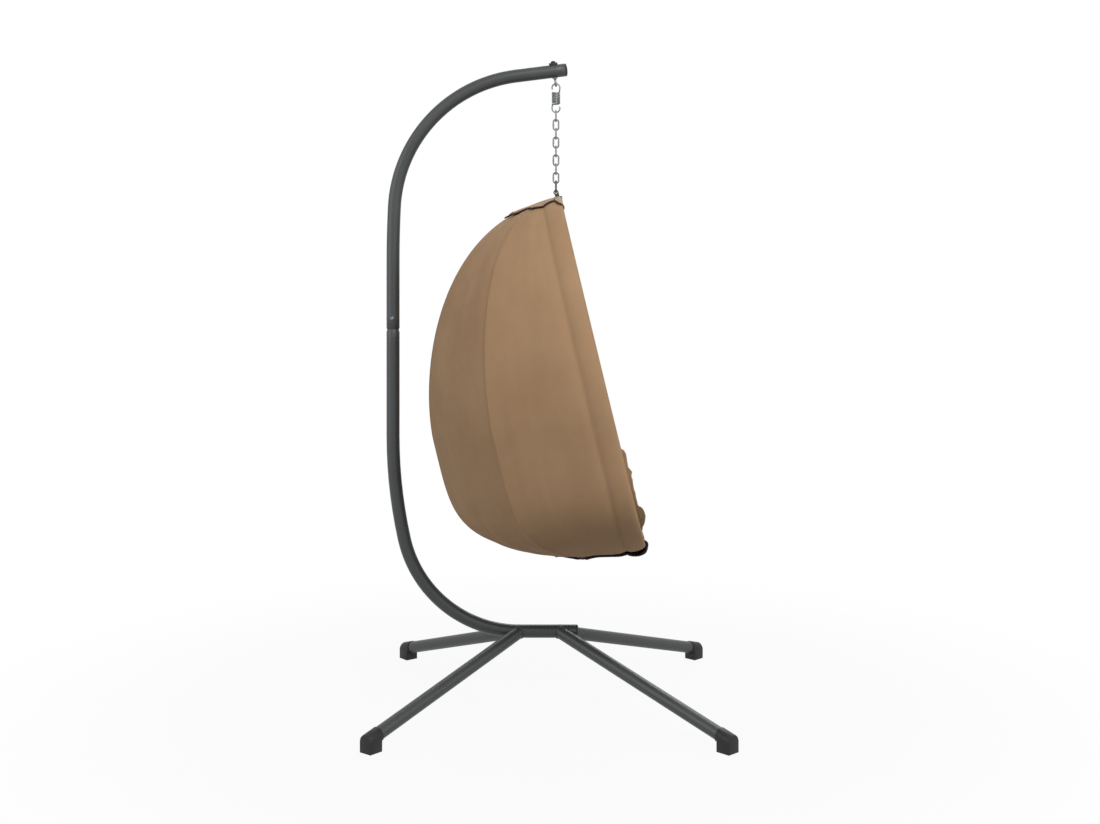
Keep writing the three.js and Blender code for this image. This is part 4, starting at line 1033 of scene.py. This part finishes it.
def cap_point(turn, length, low, level, hem):
    """A point of a cap, level millimetres inside its outer face. It stands off the cover near its hem."""
    degrees = math.degrees(abs(turn))
    if low:
        stands = 2.9 + 1.5 * math.sin(degrees * 0.16 + 0.6) + 7.0 * smooth_step(degrees, 66, 88)
    else:
        stands = 1.6 + 2.2 * (0.5 + 0.5 * math.sin((degrees - 20) * 0.17)) + 4.0 * bump_at(degrees, 24, 9)
    lift = 0.5 + CLOTH + smooth_step(length, hem - 70, hem) * stands
    lift += 0.5 * max(0.0, noise.noise(Vector((turn * 9, length * 0.03, 4.4))))
    return cover_point(turn, COVER_ARC.total - length if low else length, level, lift)


def cap_part(name, low):
    """The part of a cap over one sector, with its hem tape."""
    first, last, _, _ = SECTORS[name]
    side = math.copysign(1, last)
    columns, count, start = 30, 22, 26.0
    label = "bottom_cap" if low else "top_cap"
    turns = [first + (last - first) * c / columns for c in range(columns + 1)]
    hems = [(low_hem if low else top_hem)(math.degrees(abs(turn))) for turn in turns]
    over = HOOP_R + 2 * CLOTH + 1.6
    rows = []
    for r in range(count + 1):
        row = []
        for turn, hem in zip(turns, hems):
            length = start + (hem - start) * r / count
            at = COVER_ARC.total - length if low else length
            layers = [cap_point(turn, length, low, level, hem) for level in (0.0, CLOTH)]
            row.append((*layers, (COVER_ARC.at(length)[0] * turn * MM, at * MM)))
        if "front" in name:
            # it goes on round the rim hoop, and narrows from the cap's height to the hoop's
            centre, out_dir, round_dir = rim_frame(at, last)
            outer, _, (across, along) = row[-1]
            top = float((outer - centre) / MM @ out_dir)
            ahead = over + (4.0 * r / count if low else 0.0)
            for k in range(1, 10):
                a = math.pi / 2 - math.pi * 0.9 * k / 9
                out = over + (top - over) * max(0.0, math.sin(a)) ** 2
                layers = []
                for level in (0.0, CLOTH):
                    way = out_dir * math.sin(a) * (out - level) + round_dir * math.cos(a) * (ahead - level)
                    layers.append(centre + way * MM)
                row.append((*layers, (across + side * 4.0 * MM * k, along)))
        rows.append(row)
    piece = sheet_piece(f"{label}_{name}", rows, COVER)
    hem_line = [(outer + inner) / 2 for outer, inner, _ in rows[-1]]
    tape = hem_tape(f"{label}_hem_{name}", hem_line, [point[0] for point in rows[-2]], low)
    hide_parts(label)
    blend_by_turn(piece, *SECTORS[name])
    blend_by_turn(tape, *SECTORS[name])


def hem_tape(name, line, above, low):
    """A folded tape over the raw edge: a flat oval 7 to 10 mm deep, drawn along the hem."""
    thick, depth = (3.4, 5.0) if low else (2.1, 3.6)
    line = catmull(line, 3)
    rings = []
    for point, along, up in zip(line, unit(np.gradient(line, axis=0)), catmull(above, 3)):
        deep = up - point
        deep = unit(deep - along * (deep @ along))
        middle = point + deep * (depth - 2.0) * MM
        rings.append(ring(middle, deep * depth, np.cross(along, deep) * thick, MM, 14))
    return ringed(name, rings, BLACK_TAPE if low else BROWN_TAPE)


def cap_dart(name, sector):
    """The short dark seam below the hub on each side of the upper cap."""
    degrees = 84
    turn = math.copysign(math.radians(degrees), SECTORS[sector][1])
    line = [cap_point(turn, length, False, -0.5, top_hem(degrees)) for length in np.linspace(104, 146, 12)]
    blend_by_turn(swept(name, line, 1.5 * MM, 10, BROWN_TAPE, sharp=None), *SECTORS[sector])


for sector in SECTORS:
    cap_part(sector, False)
    cap_part(sector, True)
cap_dart("cap_dart_left", "left_front")
cap_dart("cap_dart_right", "right_front")


# Cushions: heights along the pod's axis and ways behind it, in millimetres

SEAT_SEAM = -0.9 * POD_LENGTH
BACK_TOP, BACK_WING, BACK_LOW = 0.46, 0.665, 0.9 - 48.5 / 1100
BACK_CHANNELS = [-613.0, -706.0, -800.0, -893.0]
SEAT_CHANNELS = [82.0, 188.0, 294.0]
# how far inside the outline the pads are held, clear of the hoops
PAD_IN = 22.5
# how far ahead of the axis the cushions' front edges reach at each height, with their seams' soft corners
LOBES = [(-1075.0, -2.0), (-1047.0, 12.0), (-1015.0, 12.0), (-990.0, 9.0), (-976.0, 9.0), (-956.0, 17.0),
         (-932.0, 22.0), (-910.0, 20.0), (-896.0, 13.0), (-876.0, 8.0), (-830.0, 8.0), (-811.0, 10.0),
         (-799.0, 18.0), (-788.0, 9.0), (-780.0, 4.0), (-745.0, 7.0), (-726.0, 3.0), (-713.0, 7.0),
         (-700.0, 0.0), (-560.0, -6.0)]


def set_points(piece, points):
    piece.data.vertices.foreach_set("co", np.asarray(points, float).reshape(-1))
    piece.data.update()


def normals_of(piece):
    return np.array([v.normal for v in piece.data.vertices], float)


def blown(piece, pressure, most, frames):
    """Cloth under pressure for a few frames, with each point held to within most of where it began."""
    before = points_of(piece)
    modifier = piece.modifiers.new("swell", "CLOTH")
    for key, value in {"quality": 5, "mass": 0.3, "tension_stiffness": 12, "compression_stiffness": 12,
                       "shear_stiffness": 6, "bending_stiffness": 0.4, "use_pressure": True,
                       "uniform_pressure_force": pressure}.items():
        setattr(modifier.settings, key, value)
    modifier.settings.effector_weights.gravity = 0
    modifier.collision_settings.use_collision = False
    modifier.point_cache.frame_start = 1
    modifier.point_cache.frame_end = frames
    for f in range(1, frames + 1):
        scene.frame_set(f)
    apply_modifiers(piece)
    scene.frame_set(1)
    move = points_of(piece) - before
    far = np.linalg.norm(move, axis=1)
    set_points(piece, before + move * np.minimum(1.0, most / np.maximum(far, 1e-9))[:, None])


def pad(node, name):
    """A cushion's CAD form in an even mesh, drawn in and swelled by its filling."""
    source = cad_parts[node]
    piece = in_scene(name, source.data.copy(), CUSHION)
    piece.data.transform(source.matrix_world)
    edited(piece.data, lambda work: merge(work, 1e-5))
    modified(piece, "REMESH", mode="VOXEL", voxel_size=9 * MM)
    set_points(piece, points_of(piece) - normals_of(piece) * 3 * MM)
    blown(piece, 4.0, 22 * MM, 20)

    def relax(work):
        axes = {"use_axis_x": True, "use_axis_y": True, "use_axis_z": True}
        bmesh.ops.smooth_vert(work, verts=work.verts, factor=0.5, **axes)

    edited(piece.data, relax)
    modified(piece, "SUBSURF", levels=1, render_levels=1)
    return piece


def finish_pad(piece, node, points):
    set_points(piece, points)
    smooth(piece.data)
    placed(piece, "cushions", node)


def rumple(*axes):
    """Noise at many places, from their three axes."""
    return np.array([noise.noise(Vector(place)) for place in zip(*np.broadcast_arrays(*axes))])


def channels(values, middles):
    """How deep each value lies in a sewn channel, and how near it is to a channel's edges."""
    channel, beside = np.zeros(len(values)), np.zeros(len(values))
    for middle in middles:
        away = np.abs(values - middle)
        channel = np.maximum(channel, np.exp(-(away / 12.0) ** 1.2))
        beside = np.maximum(beside, np.exp(-((away - 16) / 12.0) ** 2))
    return channel, beside


def kept_inside(points):
    """Points drawn back inside the hoops and the cloth between them."""
    radius, turn, height = pod_local(points)
    edge = Arc(PAD_IN).points
    order = np.argsort(edge[:, 1])
    limit = np.interp(height, edge[order, 1], edge[order, 0])
    # a filled pad bridges the ridges that the hoops make in the cloth, and stays 1.2 % in from it
    around = np.radians([-9, -6, -3, 0, 3, 6, 9])
    drawn = np.array([1 - 0.012 - sum(sag(t + d) for d in around) / len(around) for t in turn])
    return pod_point(np.minimum(radius, limit * drawn), turn, np.maximum(height, edge[:, 1].min()))


def with_front(points):
    """Points near the cushions' front edges moved so that the edges swell and draw in with the lobes."""
    radius, turn, height = pod_local(points)
    back = radius * np.cos(turn)
    across = radius * np.sin(turn)
    # where the front edge lies now at each level, from the points out at its two ends
    levels = np.arange(height.min() - 4, height.max() + 8, 6.0)
    front = np.full(len(levels), np.nan)
    for i, level in enumerate(levels):
        near = (np.abs(across) > 230) & (np.abs(height - level) < 7)
        if near.any():
            front[i] = back[near].min()
    known = ~np.isnan(front)
    front = np.interp(levels, levels[known], front[known])
    front = np.convolve(np.pad(front, 2, mode="edge"), np.ones(5) / 5, "valid")
    now = np.interp(height, levels, front)
    goal = -np.interp(height, *np.transpose(LOBES))
    # the edge moves to its goal, and the points behind it and towards the middle move less and less
    share = eased(1 - between(back - now, 0, 120)) * eased(between(np.abs(across), 190, 300))
    return pod_place(across, back + np.clip(goal - now, -70, 40) * share, height)


def above_tabs(points):
    """Points of the seat lifted clear of the hoops' low tabs, which sweep round the pin below it."""
    radius, turn, height = pod_local(points)
    top = tab_stack(True) + 2 * TAB_PITCH + TAB_THICK / 2
    return pod_point(radius, turn, np.maximum(height, top + 2.0 - 60.0 * between(radius, 78, 108)))


def seat():
    piece = pad("seat_cushion", "seat_pad")
    radius, turn, height = pod_local(points_of(piece))
    # soft puckers near the edge seam, and sewn channels across the top
    pucker = rumple(turn * 15.0, radius * 0.004, 0.4) * 4.2 * between(radius, 0, 420) ** 3
    channel, beside = channels(radius * np.cos(turn), SEAT_CHANNELS)
    gather = rumple(radius * np.sin(turn) * 0.05, radius * np.cos(turn) * 0.012, 9.1)
    top = between(height, SEAT_SEAM + 6, SEAT_SEAM + 26)
    height = height + top * (pucker - 10.0 * channel + 2.2 * beside * gather)
    points = with_front(pod_point(radius, turn, height))
    finish_pad(piece, "seat_cushion", above_tabs(kept_inside(points)))
    return piece


def back():
    piece = pad("back_cushion", "back_pad")
    points, normals = points_of(piece), normals_of(piece)
    radius, turn, height = pod_local(points)
    # sewn channels across the pad, deepest on the side that is leant on and at the wings' front edges
    out_dir = np.outer(np.sin(turn), X_AXIS) + np.outer(np.cos(turn), POD_BACK)
    facing = np.clip(-(normals * out_dir).sum(axis=1), 0, 1)
    edge = between(np.abs(turn), math.radians(80), math.radians(89))
    channel, beside = channels(height, BACK_CHANNELS)
    gather = rumple(turn * 26.0, height * 0.012, 5.5)
    move = facing * (5.0 * (1 - channel) + 2.4 * beside * gather)
    move -= 14.0 * np.maximum(facing, 0.6 * edge) * channel
    # its lower edge settles down beside the seat
    radius, turn, height = pod_local(points + normals * move[:, None] * MM)
    height = height - 42.0 * eased(between(-height, 886, 936)) * between(radius, 352, 398)
    finish_pad(piece, "back_cushion", kept_inside(with_front(pod_point(radius, turn, height))))
    return piece


def piping(name, line, piece):
    """A corded seam laid on a cushion's surface, along a closed line."""
    bpy.context.view_layer.update()
    tree = BVHTree.FromObject(piece, bpy.context.evaluated_depsgraph_get())
    path = []
    for point in line:
        place, normal, _, _ = tree.find_nearest(Vector(point))
        path.append(place + normal * 0.8 * MM)
    path = np.array(path[-2:] + path + path[:2])
    even = np.array([1, 2, 3, 2, 1]) / 9
    path = np.column_stack([np.convolve(path[:, i], even, "valid") for i in range(3)])
    placed(swept(name, np.vstack([path, path[:1]]), 2.6 * MM, 12, CUSHION, sharp=None), "cushions")


def seat_line():
    """Round the edge seam of the seat, and straight across its front."""
    line = []
    for turn in np.arange(240) / 240 * 2 * math.pi - math.pi:
        reach = 455 * (1 - sag(turn))
        if math.cos(turn) < 0:
            reach = min(reach, -24 / math.cos(turn))
        line.append(pod_point(reach, turn, SEAT_SEAM + 2))
    return line


def back_line():
    """Round the edge of the back pad: along its top, down a wing, along the bottom and up the other wing."""
    def edge(across, top):
        share = BACK_TOP + (BACK_WING - BACK_TOP) * across * across if top else BACK_LOW
        turn = math.radians(91) * across
        radius = np.interp(-POD_LENGTH * share, COVER_ARC.points[::-1, 1], COVER_ARC.points[::-1, 0]) - 34
        return pod_point(radius * (1 - sag(turn)), turn, -POD_LENGTH * share)

    def wing(across, from_top):
        begin, end = edge(across, from_top), edge(across, not from_top)
        return [begin + (end - begin) * i / 24 for i in range(1, 24)]

    line = [edge(i / 60 - 1, True) for i in range(121)] + wing(1, True)
    return line + [edge(1 - i / 60, False) for i in range(121)] + wing(-1, False)


seat_pad = seat()
back_pad = back()
piping("seat_piping", seat_line(), seat_pad)
piping("back_piping", back_line(), back_pad)
